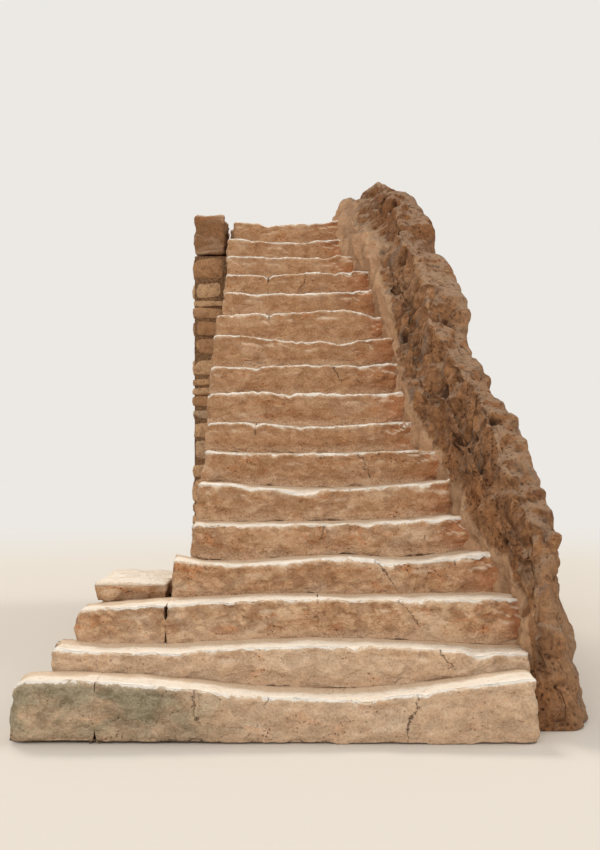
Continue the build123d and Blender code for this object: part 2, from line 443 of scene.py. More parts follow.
class Sheet:
    """Builds one material's nodes with short calls."""

    def __init__(self, name: str) -> None:
        """Starts an empty material with a principled shader.

        Args:
            name: The material's name.
        """
        self.material = bpy.data.materials.new(name)
        self.material.use_nodes = True
        self.tree = self.material.node_tree
        self.shader = self.tree.nodes["Principled BSDF"]
        self.place = self.tree.nodes.new("ShaderNodeTexCoord").outputs["Object"]

    def put(self, socket: Socket, value: Value) -> None:
        """Links an output to a socket, or sets the socket's own value.

        Args:
            socket: The socket.
            value: The output, number, vector or colour.
        """
        if isinstance(value, Socket):
            self.tree.links.new(value, socket)
        elif isinstance(value, tuple) and socket.type == "RGBA":
            socket.default_value = (*value, 1)
        else:
            socket.default_value = value

    def node(
        self, kind: str, inputs: dict[str | int, Value], output: str | int = 0, **settings: str
    ) -> Socket:
        """Adds one node.

        Args:
            kind: The last part of its type's name.
            inputs: What goes into its sockets, by their names or numbers.
            output: The name or number of the output that is wanted.
            settings: Its own settings, by their names.

        Returns:
            That output.
        """
        node = self.tree.nodes.new(f"ShaderNode{kind}")
        for name, value in settings.items():
            setattr(node, name, value)
        for name, value in inputs.items():
            self.put(node.inputs[name], value)
        return node.outputs[output]

    def noise(
        self, scale: float, detail: float, rough: float, warp: float = 0.0, stretch: Vector = (1, 1, 1)
    ) -> Socket:
        """Noise in object space.

        Args:
            scale: About how many features there are to a metre.
            detail: How many finer layers it has.
            rough: How strong the finer layers are.
            warp: How far it is drawn out of shape.
            stretch: How many times closer the features are along each axis.

        Returns:
            The noise, from 0 to 1.
        """
        place = self.place
        if stretch != (1, 1, 1):
            place = self.node("Mapping", {"Vector": place, "Scale": stretch})
        look = {"Scale": scale, "Detail": detail, "Roughness": rough, "Distortion": warp}
        return self.node("TexNoise", {"Vector": place, **look}, "Fac")

    def spots(self, scale: float) -> Socket:
        """Distance to scattered points, scale of them to a metre."""
        return self.node("TexVoronoi", {"Vector": self.place, "Scale": scale}, "Distance")

    def height(self) -> Socket:
        """Height above the ground, in metres."""
        return self.node("SeparateXYZ", {0: self.place}, "Z")

    def cracks(self, scale: float, width: float) -> Socket:
        """Thin wandering lines: the edges between cells around scattered points,
        in a place that noise has moved by up to 60 mm either way.

        Args:
            scale: About how many cells there are to a metre.
            width: Half the width of a line, as a share of a cell.

        Returns:
            1 along the middle of the lines and 0 away from them.
        """
        wander = self.node("TexNoise", {"Vector": self.place, "Scale": 5.0, "Detail": 5.0}, "Color")
        shift = {0: wander, 1: (0.12, 0.12, 0.12), 2: self.place}
        moved = self.node("VectorMath", shift, operation="MULTIPLY_ADD")
        cells = {"Vector": moved, "Scale": scale}
        edge = self.node("TexVoronoi", cells, "Distance", feature="DISTANCE_TO_EDGE")
        return self.window(edge, width, 0.0)

    def mark(self, name: str) -> Socket:
        """The value that the mesh carries under a name, or 0."""
        return self.node("Attribute", {}, "Fac", attribute_name=name)

    def window(self, value: Value, low: float, high: float, top: float = 1.0) -> Socket:
        """Rises smoothly from 0 to top while the value goes from low to high."""
        inputs = {"Value": value, "From Min": low, "From Max": high, "To Max": top}
        return self.node("MapRange", inputs, "Result", interpolation_type="SMOOTHSTEP")

    def math(self, kind: str, a: Value, b: Value = 0.0) -> Socket:
        """One sum of two values, by its name in capitals."""
        return self.node("Math", {0: a, 1: b}, operation=kind)

    def times(self, a: Value, b: Value) -> Socket:
        """The product of two values."""
        return self.math("MULTIPLY", a, b)

    def minus(self, a: Value, b: Value) -> Socket:
        """The first value less the second."""
        return self.math("SUBTRACT", a, b)

    def ragged(self, mark: str, uneven: Socket, share: float) -> Socket:
        """A mark with a share of an uneven value added, so its edge wanders."""
        return self.math("ADD", self.mark(mark), self.times(uneven, share))

    def blend(self, share: Value, first: Value, second: Value, kind: str = "MIX") -> Socket:
        """The first colour turned into the second by a share."""
        colours = {0: share, 6: first, 7: second}
        return self.node("Mix", colours, 2, data_type="RGBA", blend_type=kind)

    def over(self, colour: Value, *coats: tuple[Value, Value]) -> Socket:
        """Lays coats over a colour in turn.

        Args:
            colour: The colour at the bottom.
            coats: The share and the colour of each coat.

        Returns:
            The colour at the top.
        """
        for share, coat in coats:
            colour = self.blend(share, colour, coat)
        return colour

    def grained(self, colour: Value, grain: Socket, share: float, dark: Colour, light: Colour) -> Socket:
        """A colour with fine grain between dark and light laid softly over it."""
        fine = self.blend(self.window(grain, 0.32, 0.68), dark, light)
        return self.blend(share, colour, fine, "SOFT_LIGHT")

    def relief(self, *layers: tuple[Socket, float]) -> Socket:
        """Lays small relief upon small relief.

        Args:
            layers: The height and the depth in metres of each.

        Returns:
            The normal of the last.
        """
        normal = None
        for height, depth in layers:
            below = {} if normal is None else {"Normal": normal}
            normal = self.node("Bump", {"Height": height, "Distance": depth, **below}, "Normal")
        return normal

    def finish(self, **sockets: Value) -> bpy.types.Material:
        """Puts values into the shader's sockets.

        Args:
            sockets: The values for colour, rough, specular and normal.

        Returns:
            The material.
        """
        names = {
            "colour": "Base Color",
            "rough": "Roughness",
            "specular": "Specular IOR Level",
            "normal": "Normal",
        }
        for key, value in sockets.items():
            self.put(self.shader.inputs[names[key]], value)
        return self.material


@dataclass(frozen=True)
class LimestoneFinish:
    """Limestone of the steps: ochre and mottled on the faces, browner higher
    up as painted shade and paler on the lowest steps as painted light, worn
    pale and smooth where feet go, with a bright broken rim along the nosing
    that is worn pale and partly a painted highlight, paler at the foot of each
    face with settled grit and painted light bounced from the tread, low places
    of the hewn faces painted darker as shade, upward-facing facets paler with
    grit and painted light from above, and rougher, redder stone beside the
    rock bank."""

    name: str = "worn_limestone"
    face: Colour = tone(218, 183, 149)
    brown: Colour = tone(176, 133, 95)
    dark: Colour = tone(112, 76, 48)
    stain: Colour = tone(198, 128, 78)
    pale: Colour = tone(234, 211, 185)
    shade_higher_up: Colour = tone(166, 122, 85)
    tread: Colour = tone(232, 220, 204)
    tread_stain: Colour = tone(202, 177, 149)
    rim: Colour = tone(246, 239, 229)
    dust_and_bounce_light: Colour = tone(211, 179, 149)
    bank: Colour = tone(172, 106, 62)
    lichen: Colour = tone(116, 108, 84)
    lichen_pale: Colour = tone(156, 148, 124)
    speck: Colour = tone(78, 50, 30)

    def material(self) -> bpy.types.Material:
        """Builds the finish. Its noises are as wide as a hand for the mottle, a
        stone for the drift, a finger for the fleck and less for the grain, and
        the stain has its own.

        Returns:
            The material.
        """
        s = Sheet(self.name)
        mottle = s.noise(15, 8, 0.68, 0.5, (0.8, 1, 1.3))
        drift = s.noise(3.7, 6, 0.62, 0.9, (0.8, 1, 1.5))
        fleck = s.noise(38, 6, 0.62, 0.3, (0.8, 1, 1.2))
        stain = s.noise(5.1, 6, 0.65, 1.4, (0.7, 1, 1.8))
        grain = s.noise(95, 4, 0.6)
        wear, swell = s.mark("wear"), s.minus(drift, 0.5)
        flaws = self.flaws(s, mottle, drift, stain)
        face = s.over(
            self.weathered(s, mottle, drift, fleck, stain),
            # Paler at the foot of each face: partly settled grit, partly painted light bounced from the
            # tread below
            (s.times(s.mark("foot"), s.window(grain, 0.2, 0.6, 0.75)), self.dust_and_bounce_light),
            # Paler band at the top of the face under the nosing: partly a worn edge, partly painted light
            (s.window(s.ragged("rim", swell, 1.3), 0.60, 1.05, 0.42), self.pale),
            (s.times(flaws, 0.62), self.speck),
        )
        colour = self.worn(s, face, mottle, swell, fleck)
        rough = s.minus(1.0, s.times(wear, 0.72))
        return s.finish(
            colour=s.grained(colour, grain, 0.30, self.speck, self.rim),
            rough=s.minus(0.92, s.times(wear, 0.22)),
            specular=0.3,
            normal=s.relief(
                (s.times(mottle, rough), 0.020),
                (s.times(fleck, rough), 0.012),
                (s.times(grain, rough), 0.005),
                (s.times(flaws, -1.0), 0.007),
            ),
        )

    @staticmethod
    def flaws(s: Sheet, mottle: Socket, drift: Socket, stain: Socket) -> Socket:
        """Pits, hairline cracks and the open cracks that the mesh marks.

        Args:
            s: The sheet of the material.
            mottle: Noise as wide as a hand.
            drift: Noise as wide as a stone.
            stain: Noise that says where the pits are.

        Returns:
            How far a place lies in one of them, from 0 to 1.
        """
        crack = s.times(s.cracks(1.7, 0.005), s.window(drift, 0.60, 0.66))
        pits = s.times(s.window(s.spots(48), 0.30, 0.08), s.window(stain, 0.50, 0.66))
        wander = s.minus(s.math("ADD", mottle, drift), 1.0)
        split = s.window(s.math("ABSOLUTE", s.ragged("split", wander, 0.11)), 0.0040, 0.0008)
        split = s.times(split, s.mark("near_split"))
        return s.math("MAXIMUM", s.math("MAXIMUM", pits, crack), split)

    def weathered(self, s: Sheet, mottle: Socket, drift: Socket, fleck: Socket, stain: Socket) -> Socket:
        """The colour of a rough face.

        Args:
            s: The sheet of the material.
            mottle: Noise as wide as a hand.
            drift: Noise as wide as a stone.
            fleck: Noise as wide as a finger.
            stain: Noise that says where the stains are.

        Returns:
            The colour.
        """
        soot = s.times(s.window(fleck, 0.50, 0.34), s.window(drift, 0.46, 0.32, 0.65))
        near_bank = s.times(s.mark("bank"), s.window(drift, 0.30, 0.62, 0.8))
        lichen = s.blend(s.window(mottle, 0.38, 0.60), self.lichen, self.lichen_pale)
        return s.over(
            s.blend(s.window(mottle, 0.32, 0.64), self.brown, self.face),
            (s.window(s.mark("shade"), 0.0, 1.0, 0.35), self.brown),
            (s.window(fleck, 0.46, 0.30, 0.45), self.dark),
            (s.window(drift, 0.46, 0.70, 0.60), self.pale),
            (s.window(stain, 0.54, 0.68, 0.58), self.stain),
            (soot, self.dark),
            # deep: low places of the hewn relief painted darker as shade
            (s.times(s.mark("deep"), 0.38), self.dark),
            # Painted shade and light by height: browner from 0.45 m to 1.5 m up, paler below 0.5 m
            (s.window(s.height(), 0.45, 1.5, 0.5), self.shade_higher_up),
            (s.window(s.height(), 0.50, 0.34, 0.36), self.pale),
            (near_bank, self.bank),
            # ledge: upward-facing facets paler, partly settled grit and partly painted light from above
            (s.times(s.mark("ledge"), 0.75), self.pale),
            (s.times(s.mark("lichen"), s.window(drift, 0.25, 0.6, 0.9)), lichen),
        )

    def worn(self, s: Sheet, face: Socket, mottle: Socket, swell: Socket, fleck: Socket) -> Socket:
        """Lays the worn treads and the bright rim over the face. The rim is
        worn pale and partly a painted highlight.

        Args:
            s: The sheet of the material.
            face: The colour of the face.
            mottle: Noise as wide as a hand.
            swell: Noise as wide as a stone, less 0.5.
            fleck: Noise as wide as a finger.

        Returns:
            The colour.
        """
        tread = s.over(
            s.blend(s.window(s.ragged("back", swell, 1.8), 0.05, 0.70, 0.9), self.tread, self.tread_stain),
            (s.window(mottle, 0.50, 0.70, 0.6), self.tread_stain),
            (s.window(fleck, 0.42, 0.28, 0.5), self.brown),
        )
        uneven = s.minus(s.math("ADD", mottle, fleck), 1.0)
        broken = s.math("ADD", uneven, s.times(swell, 1.3))
        # The bright broken rim along the nosing: worn pale stone and a painted highlight
        rim = s.window(s.ragged("rim", broken, 0.52), 0.90, 0.96, 0.90)
        return s.over(
            face,
            (s.window(s.ragged("wear", uneven, 0.9), 0.44, 0.62), tread),
            (s.times(rim, s.mark("nose")), self.rim),
        )


@dataclass(frozen=True)
class RockFinish:
    """Weathered bedrock: brown and orange, pitted, with grey streaks that run
    down it, paler where people brush past its foot, and darker at its top.
    Its edge is painted pale as a highlight, its ledges are paler with grit
    and painted light from above, and its hollows, creases and pits are
    painted dark as shade."""

    name: str = "bedrock"
    base: Colour = tone(190, 144, 103)
    dark: Colour = tone(122, 84, 54)
    rust: Colour = tone(172, 117, 75)
    grey: Colour = tone(148, 134, 121)
    pale: Colour = tone(216, 182, 149)
    worn: Colour = tone(224, 186, 152)
    dust_and_top_light: Colour = tone(186, 162, 138)
    bleached: Colour = tone(196, 164, 133)
    weathered: Colour = tone(186, 158, 129)
    hollow: Colour = tone(58, 35, 19)

    def material(self) -> bpy.types.Material:
        """Builds the finish.

        Returns:
            The material.
        """
        s = Sheet(self.name)
        broad, mottle = s.noise(1.9, 5, 0.6, 0.9), s.noise(12, 9, 0.72, 0.6)
        fleck, grain = s.noise(33, 7, 0.68, 0.4), s.noise(70, 6, 0.65)
        patch, streak = s.noise(0.9, 5, 0.62, 1.1), s.noise(7, 6, 0.62, 0.6, (1.4, 1.4, 0.13))
        uneven, outside, worn = s.minus(mottle, 0.5), s.mark("outside"), s.mark("worn")
        crest = s.minus(s.window(s.height(), 2.7, 3.6, 0.5), worn)
        pits = s.times(s.window(s.spots(30), 0.36, 0.08), s.window(broad, 0.42, 0.56))
        pits = s.times(pits, s.minus(s.minus(1.0, worn), s.times(outside, 0.6)))
        colour = s.over(
            s.blend(s.window(mottle, 0.34, 0.64), self.dark, self.base),
            (s.window(patch, 0.50, 0.66, 0.55), self.bleached),
            (s.window(patch, 0.44, 0.30, 0.40), self.dark),
            (s.times(outside, s.window(patch, 0.30, 0.62, 0.75)), self.weathered),
            (s.window(broad, 0.50, 0.74, 0.60), self.rust),
            (s.times(s.window(streak, 0.50, 0.66, 0.75), s.window(broad, 0.62, 0.42)), self.grey),
            (s.window(s.ragged("worn", uneven, 1.1), 0.42, 0.82, 0.80), self.worn),
            (s.math("MAXIMUM", crest, 0.0), self.dark),
            # The upper edge and the top of the worn strip painted pale as a highlight
            (s.window(s.ragged("edge", uneven, 1.6), 0.60, 1.05, 0.7), self.pale),
            # Upward-facing ledges paler: partly settled grit, partly painted light from above
            (s.window(s.ragged("ledge", uneven, 1.0), 0.35, 0.95, 0.6), self.dust_and_top_light),
            (s.window(fleck, 0.46, 0.28, 0.55), self.dark),
            # Hollows, creases, low folds and pits painted dark as shade
            (s.window(s.mark("hollow"), 0.05, 0.75, 0.85), self.hollow),
            (s.times(pits, 0.6), self.hollow),
        )
        sunk = s.times(pits, -1.0)
        return s.finish(
            colour=s.grained(colour, grain, 0.38, self.hollow, self.pale),
            rough=0.93,
            specular=0.25,
            normal=s.relief((mottle, 0.040), (fleck, 0.020), (grain, 0.007), (sunk, 0.012)),
        )


@dataclass(frozen=True)
class RubbleFinish:
    """Field stones in earth mortar, each stone in its own shade."""

    name: str = "rubble_masonry"
    stone: Colour = tone(208, 173, 136)
    dark: Colour = tone(178, 138, 101)
    grey: Colour = tone(184, 166, 143)
    deep: Colour = tone(116, 81, 52)
    mortar: Colour = tone(150, 118, 88)
    mortar_dark: Colour = tone(98, 71, 48)
    speck: Colour = tone(74, 50, 31)

    def material(self) -> bpy.types.Material:
        """Builds the finish.

        Returns:
            The material.
        """
        s = Sheet(self.name)
        mottle, fleck, grain = s.noise(17, 8, 0.66, 0.4), s.noise(40, 6, 0.65), s.noise(85, 5, 0.6)
        shade = s.mark("shade")
        mortar = s.blend(s.window(grain, 0.35, 0.6), self.mortar_dark, self.mortar)
        pits = s.times(s.window(s.spots(60), 0.34, 0.10), s.window(mottle, 0.42, 0.58))
        colour = s.over(
            s.blend(s.window(shade, 0.0, 0.7), self.dark, self.stone),
            (s.window(shade, 0.80, 1.0, 0.7), self.grey),
            (s.window(mottle, 0.56, 0.32, 0.55), self.deep),
            (s.window(fleck, 0.47, 0.30, 0.5), self.mortar_dark),
            (s.mark("mortar"), mortar),
            (s.times(pits, 0.5), self.speck),
        )
        sunk = s.times(pits, -1.0)
        return s.finish(
            colour=s.grained(colour, grain, 0.28, self.speck, self.stone),
            rough=0.94,
            specular=0.25,
            normal=s.relief((mottle, 0.024), (fleck, 0.013), (grain, 0.005), (sunk, 0.007)),
        )


def node_points(node: str) -> Array:
    """Reads the solid of a node.

    Args:
        node: The node's name.

    Returns:
        Its points, as point and X, Y, Z.
    """
    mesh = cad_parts[node].data
    flat = np.empty(len(mesh.vertices) * 3, np.float32)
    mesh.vertices.foreach_get("co", flat)
    return flat.reshape(-1, 3).astype(float)


@cache
def limits() -> tuple[Array, Array]:
    """The corners of the box that every visible point stays in."""
    points = np.concatenate([node_points(n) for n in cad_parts])
    return points.min(0), points.max(0)


def seed(node: str) -> int:
    """A number that belongs to a node: the sum of its letters' codes."""
    return sum(map(ord, node))


def stones_of(step: int) -> list[str]:
    """The nodes of a step, from left to right."""
    names = [f"step_{step:02d}{side}" for side in ("", "_left", "_middle", "_right")]
    return [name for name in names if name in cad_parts]


class End(Enum):
    """How a stone ends, by the radius of its corners: worn off in the open, at
    a joint, or inside the rock."""

    FREE = 0.034
    BOULDER = 0.085
    JOINT = 0.007
    BURIED = 0.0


def quarter_turn(radius: float) -> Array:
    """Distances from an end at even angles round a quarter circle: the radius
    times 1 less the cosine of the angle.

    Args:
        radius: The radius of the circle.

    Returns:
        The distances, from 0 up to but not with the radius itself.
    """
    if not radius:
        return np.zeros(0)
    count = max(int(radius / TURN), 4)
    return radius * (1 - np.cos(np.linspace(0, np.pi / 2, count + 1)))[:-1]


def rounded_spacing(start: float, end: float, step: float, left: float, right: float) -> Array:
    """Places that are even in the middle, and closer round a quarter circle at
    each end.

    Args:
        start: The first place.
        end: The last place.
        step: About how far apart the even places are.
        left: Radius of the circle at the first place.
        right: Radius of the circle at the last place.

    Returns:
        The places, rising.
    """
    count = max(int((end - start - left - right) / step), 6)
    middle = np.linspace(start + left, end - right, count)
    return np.concatenate([start + quarter_turn(left), middle, end - quarter_turn(right)[::-1]])


def worn_in(x: Array, left: float, right: float) -> Array:
    """How far a surface is worn in near its ends: a quarter circle at each.

    Args:
        x: Places along it, rising.
        left: Radius of the circle at the first place.
        right: Radius of the circle at the last place.

    Returns:
        The depth at each place.
    """
    total = np.zeros_like(x)
    for radius, away in ((left, x - x[0]), (right, x[-1] - x)):
        if radius:
            part = np.clip(1 - away / radius, 0, 1)
            total += radius * (1 - np.sqrt(1 - part**2))
    return total


@dataclass(frozen=True)
class Dip:
    """A place where the nosing is broken or worn down.

    Attributes:
        x: Where it is, before SHIFT_X moves it.
        half: Half its width.
        depth: Its depth.
    """

    x: float
    half: float
    depth: float


# Dips that show along the nosing of each step, by step
DIPS: dict[int, tuple[Dip, ...]] = {
    1: (Dip(0.35, 0.070, 0.020), Dip(-0.30, 0.10, 0.010), Dip(0.62, 0.03, 0.014)),
    2: (Dip(0.29, 0.035, 0.014), Dip(0.92, 0.06, 0.022), Dip(-0.62, 0.08, 0.010)),
    3: (Dip(0.63, 0.05, 0.016), Dip(0.94, 0.03, 0.010), Dip(-0.72, 0.02, 0.012)),
    4: (Dip(0.50, 0.07, 0.020), Dip(-0.10, 0.05, 0.006), Dip(0.88, 0.04, 0.014)),
    5: (Dip(0.39, 0.05, 0.013), Dip(-0.35, 0.03, 0.006), Dip(0.80, 0.05, 0.012)),
    6: (Dip(0.02, 0.10, 0.034), Dip(-0.30, 0.035, 0.014), Dip(0.75, 0.05, 0.012)),
    7: (Dip(-0.31, 0.02, 0.010), Dip(-0.15, 0.02, 0.012), Dip(0.30, 0.03, 0.010)),
    8: (Dip(-0.295, 0.025, 0.026), Dip(0.01, 0.02, 0.014)),
    9: (Dip(-0.075, 0.022, 0.020), Dip(-0.29, 0.02, 0.010), Dip(0.30, 0.02, 0.008)),
    10: (Dip(-0.31, 0.02, 0.012), Dip(0.42, 0.05, 0.012)),
    11: (Dip(0.31, 0.07, 0.024), Dip(-0.03, 0.015, 0.010)),
    12: (Dip(-0.233, 0.025, 0.024), Dip(0.56, 0.05, 0.020)),
    13: (Dip(-0.36, 0.08, 0.012), Dip(0.10, 0.04, 0.006)),
    14: (Dip(-0.256, 0.022, 0.026), Dip(0.28, 0.022, 0.020)),
    15: (Dip(-0.20, 0.05, 0.006), Dip(0.22, 0.05, 0.010)),
    16: (Dip(0.00, 0.06, 0.010), Dip(-0.40, 0.04, 0.010)),
    17: (Dip(-0.28, 0.06, 0.016), Dip(0.18, 0.03, 0.010)),
}


@dataclass(frozen=True)
class Split:
    """A crack down the face of a step.

    Attributes:
        x: Where it starts at the nosing, before SHIFT_X moves it.
        lean: How far it drifts along X for each metre down.
        reach: How far down it goes, as a share of the face.
    """

    x: float
    lean: float
    reach: float


# Cracks that show in the faces, by step
SPLITS: dict[int, tuple[Split, ...]] = {
    1: (Split(-0.55, 0.2, 0.6), Split(0.62, -0.35, 0.95)),
    2: (Split(0.70, 0.6, 0.5),),
    3: (Split(0.52, 0.9, 0.7),),
    4: (Split(0.40, 0.7, 0.7),),
    5: (Split(0.16, -0.4, 0.6),),
    7: (Split(0.36, 0.5, 0.8),),
    10: (Split(0.22, 0.4, 0.6),),
    14: (Split(0.05, -0.3, 0.7),),
}


@dataclass
class StepStone:
    """One stone of a step. Its section in Y and Z, from the foot of its face
    over the nosing and the tread to the seat under the next step, is carried
    along X, and its face is roughened, chipped and worn.

    Attributes:
        node: The stone's node.
        left: How its left end is made.
        right: How its right end is made.
        nosing: Radius of the nosing.
        set_back: How far the plain face stays behind the solid's.
        bow: How far it wanders along the step.
        batter: How far its foot lies behind its nosing.
        waves: How far the height of the tread wanders.
        seat_start: How far behind the tread the seat starts.
        face_relief: Depth of the hewn face.
        belly: How far the face swells half way up.
        lip: Depth of the groove below the nosing, which comes and goes.
        crumb: Depth of the crumbs lost from the nosing.
        flake: Depth of the layers that flake off beside the bank.
        layer: How high one of them is.
        tread_relief: Depth of the unevenness of the tread.
        dished: Depth of the hollow that feet have made in the tread.
        washed: How far the foot of the lowest step is worn away.
        sway: How far the free ends are pulled in.
        chips_per_metre: How many flakes are lost along the nosing.
        overlap: How far a buried end reaches into the bank.
        joint_fill: How far an end reaches into a joint.
        clearance: How far the seat stays under the solid's.
        tuck: How far the foot reaches below the tread under it.
    """

    node: str
    left: End
    right: End
    nosing: float = 0.022
    set_back: float = 0.022
    bow: float = 0.010
    batter: float = 0.004
    waves: float = 0.004
    seat_start: float = 0.016
    face_relief: float = 0.016
    belly: float = 0.009
    lip: float = 0.011
    crumb: float = 0.010
    flake: float = 0.024
    layer: float = 0.052
    tread_relief: float = 0.0018
    dished: float = 0.009
    washed: float = 0.016
    sway: float = 0.022
    chips_per_metre: float = 9.0
    overlap: float = 0.090
    joint_fill: float = 0.0018
    clearance: float = 0.003
    tuck: float = 0.006

    @property
    def number(self) -> int:
        """The step that the stone belongs to, from 1."""
        return int(self.node.split("_")[1])

    def columns(self) -> Array:
        """Where the sections stand. They reach into the joints and the bank.

        Returns:
            X of each section.
        """
        low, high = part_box(self.node)
        past = {End.JOINT: self.joint_fill, End.BURIED: self.overlap}
        start, end = low.x - past.get(self.left, 0), high.x + past.get(self.right, 0)
        return rounded_spacing(start, end, COLUMN, self.left.value, self.right.value)

    def tread_height(self, x: Array) -> Array:
        """Height of the tread, read from the solid just behind its nosing. A
        point more than 6 mm lower than one within 14 mm of it lies on an end of
        the stone and is left out.

        Args:
            x: Where the height is wanted.

        Returns:
            The height over each X.
        """
        points = node_points(self.node)
        front, low = points[:, 1].min(), points[:, 2].min()
        behind = (points[:, 1] > front + NOSING - 0.002) & (points[:, 1] < front + NOSING + 0.02)
        line = points[behind & (points[:, 2] > low + 0.08)]
        near = np.abs(line[:, None, 0] - line[:, 0]) < 0.014
        highest = np.where(near, line[:, 2], 0).max(1)
        line = line[line[:, 2] > highest - 0.006]
        line = line[np.argsort(line[:, 0])]
        return np.interp(x, line[:, 0], line[:, 2])

    def seat_level(self) -> float:
        """Height of the flat seat, at the back of the solid."""
        points = node_points(self.node)
        return float(points[points[:, 1] > points[:, 1].max() - 0.001, 2].max())

    def tread_below(self, x: Array) -> Array:
        """Height of the tread of the step below, over each X."""
        stones = [StepStone(n, End.FREE, End.FREE) for n in stones_of(self.number - 1)]
        return np.minimum.reduce([stone.tread_height(x) for stone in stones])

    def dips(self, x: Array) -> Array:
        """Depth of the broken places along the nosing: bells that add up."""
        return sum(dip.depth * bell(x - dip.x - SHIFT_X, dip.half) for dip in DIPS[self.number])

    def chips(self, x: Array) -> Array:
        """Small flakes lost along the nosing: seeded half circles of depth.

        Args:
            x: Where the depth is wanted.

        Returns:
            The depth at each X.
        """
        rng = np.random.default_rng(100 + self.number)
        span = 3.2
        count = int(self.chips_per_metre * span)
        middles = rng.uniform(-span / 2, span / 2, count)[:, None]
        halves = rng.uniform(0.008, 0.045, count)[:, None]
        depths = rng.uniform(0.15, 0.45, count)[:, None] * halves
        part = np.clip(1 - ((x - middles) / halves) ** 2, 0, 1)
        return (depths * np.sqrt(part)).max(0)

    def build(self) -> Shell:
        """Builds the stone.

        Returns:
            A closed shell with its marks.
        """
        low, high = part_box(self.node)
        noise, x = Noise(self.number), self.columns()
        is_last = self.number == STEP_COUNT
        worn = worn_in(x, self.left.value, self.right.value)
        line = np.stack([x, np.full_like(x, low.y), np.full_like(x, self.number)], -1)
        height = self.tread_height(x) + self.waves * noise.cloud(line, 0.16, 3)
        face = low.y + self.set_back + self.bow * noise.cloud(line, 0.8, 2) + worn
        seat = np.minimum(height, high.z if is_last else self.seat_level()) - self.clearance
        foot = low.z
        if self.number > 1:
            foot = np.minimum(low.z, self.tread_below(x)) - self.tuck
        tread_end = high.y - 0.02 if is_last else low.y + GOING
        corners = pairs(
            (face + self.batter, foot),
            (face, height - self.dips(x) - worn * 0.8),
            (tread_end, height - worn * 0.5),
            (min(tread_end + self.seat_start, high.y), seat),
            (high.y, seat),
            (high.y, low.z),
            (low.y + 0.06 + worn * 0.6, foot),
        )
        # The face, the tread, and what lies under the next step or below
        hidden = Run(2, 0.0)
        runs = [Run(28), Run(20, 0.3, self.nosing, 1.6), hidden, hidden, hidden, Run(3, 0.0), hidden]
        outline, rough = section(corners, runs)
        return self.finished(carried(x, outline, 0), rough, corners, noise)

    def marks(self, rings: Array, corners: Array) -> dict[str, Array]:
        """The values that the relief and the finish read.

        Args:
            rings: The plain surface, as column, point and X, Y, Z.
            corners: The corners of each section: foot, nosing, end of the tread
                and those that don't show.

        Returns:
            The values by name, as column and point.
        """
        x, y, z = np.moveaxis(rings, -1, 0)
        face, nose_y, tread_end = corners[:, :3, 0].T[..., None]
        foot, nose_z = corners[:, :2, 1].T[..., None]
        reach, below = np.hypot(y - nose_y, z - nose_z), nose_z - z
        behind = smooth(y, face + 0.012, face + 0.034)
        on_top = behind * smooth(z, nose_z - 0.05, nose_z - 0.02)
        up = np.clip((z - foot) / (nose_z - foot), 0, 1)
        is_buried = self.right is End.BURIED
        bank = is_buried * (1 - smooth(x.max() - x, 0.05, 0.38))
        marks = {
            "wear": on_top * (1 - 0.5 * bank),
            # rim and nose place the bright rim of the nosing: worn stone and, in part, a painted highlight
            "rim": np.clip(1 - below / 0.08, 0, 1),
            "nose": 1 - smooth(y, nose_y + 0.03, nose_y + 0.08),
            "back": smooth(y, tread_end - 0.13, tread_end - 0.01),
            # foot: where the paler coat goes, partly settled grit and partly painted bounce light
            "foot": 1 - smooth(z, foot + 0.005, foot + 0.075),
            "bank": bank,
            "shade": np.full_like(x, np.random.default_rng(seed(self.node)).uniform()),
            "chip": self.chips(x[:, 0])[:, None] * bell(reach, 0.030) * (1 + bank),
            "dish": on_top * self.dish(x, y, nose_y, tread_end),
            "belly": (1 - behind) * np.sin(np.pi * up) ** 0.8,
            "lip": (1 - behind) * bell(below - 0.046, 0.022),
            "crumb": bell(reach, 0.024),
            "up": (1 - behind) * up,
        }
        if self.number == 1:
            marks["lichen"] = 1 - smooth(x - SHIFT_X, -0.75, -0.15)
        return marks

    def dish(self, x: Array, y: Array, front: Array, back: Array) -> Array:
        """How far feet have hollowed the tread: sines that are highest half way
        along it and half way between its front and its back.

        Args:
            x: X of the points.
            y: Y of the points.
            front: Y of each section's nosing.
            back: Y of the end of its tread.

        Returns:
            The depth at each point.
        """
        depth = np.clip((y - front) / (back - front), 0, 1)
        along = (x - x.min()) / (x.max() - x.min())
        return self.dished * np.sin(np.pi * depth) * np.sin(np.pi * along) ** 0.6

    def finished(self, rings: Array, rough: Array, corners: Array, noise: Noise) -> Shell:
        """Adds the marks, moves the surface by the relief and pulls the free
        ends in.

        Args:
            rings: The plain surface, as column, point and X, Y, Z.
            rough: Roughness of each point of a section.
            corners: The corners of each section.
            noise: The step's own noise.

        Returns:
            The finished shell.
        """
        marks = {"rough": np.broadcast_to(rough, rings.shape[:2]), **self.marks(rings, corners)}
        shell = closed_tube(rings, marks, 7)
        p, held = shell.points, shell.marks
        weight, up = held.pop("rough"), held.pop("up")
        weight[(p[:, 0] < p[:, 0].min() + 1e-4) | (p[:, 0] > p[:, 0].max() - 1e-4)] = 0.9
        small = noise.cloud(p * (1, 1, 1.4), 0.050, 3)
        hewn = 0.55 * noise.cloud(p, 0.30, 2) + 0.75 * noise.facets(p * (1, 1, 1.5), 0.15, 9.0)
        hewn += 0.30 * small
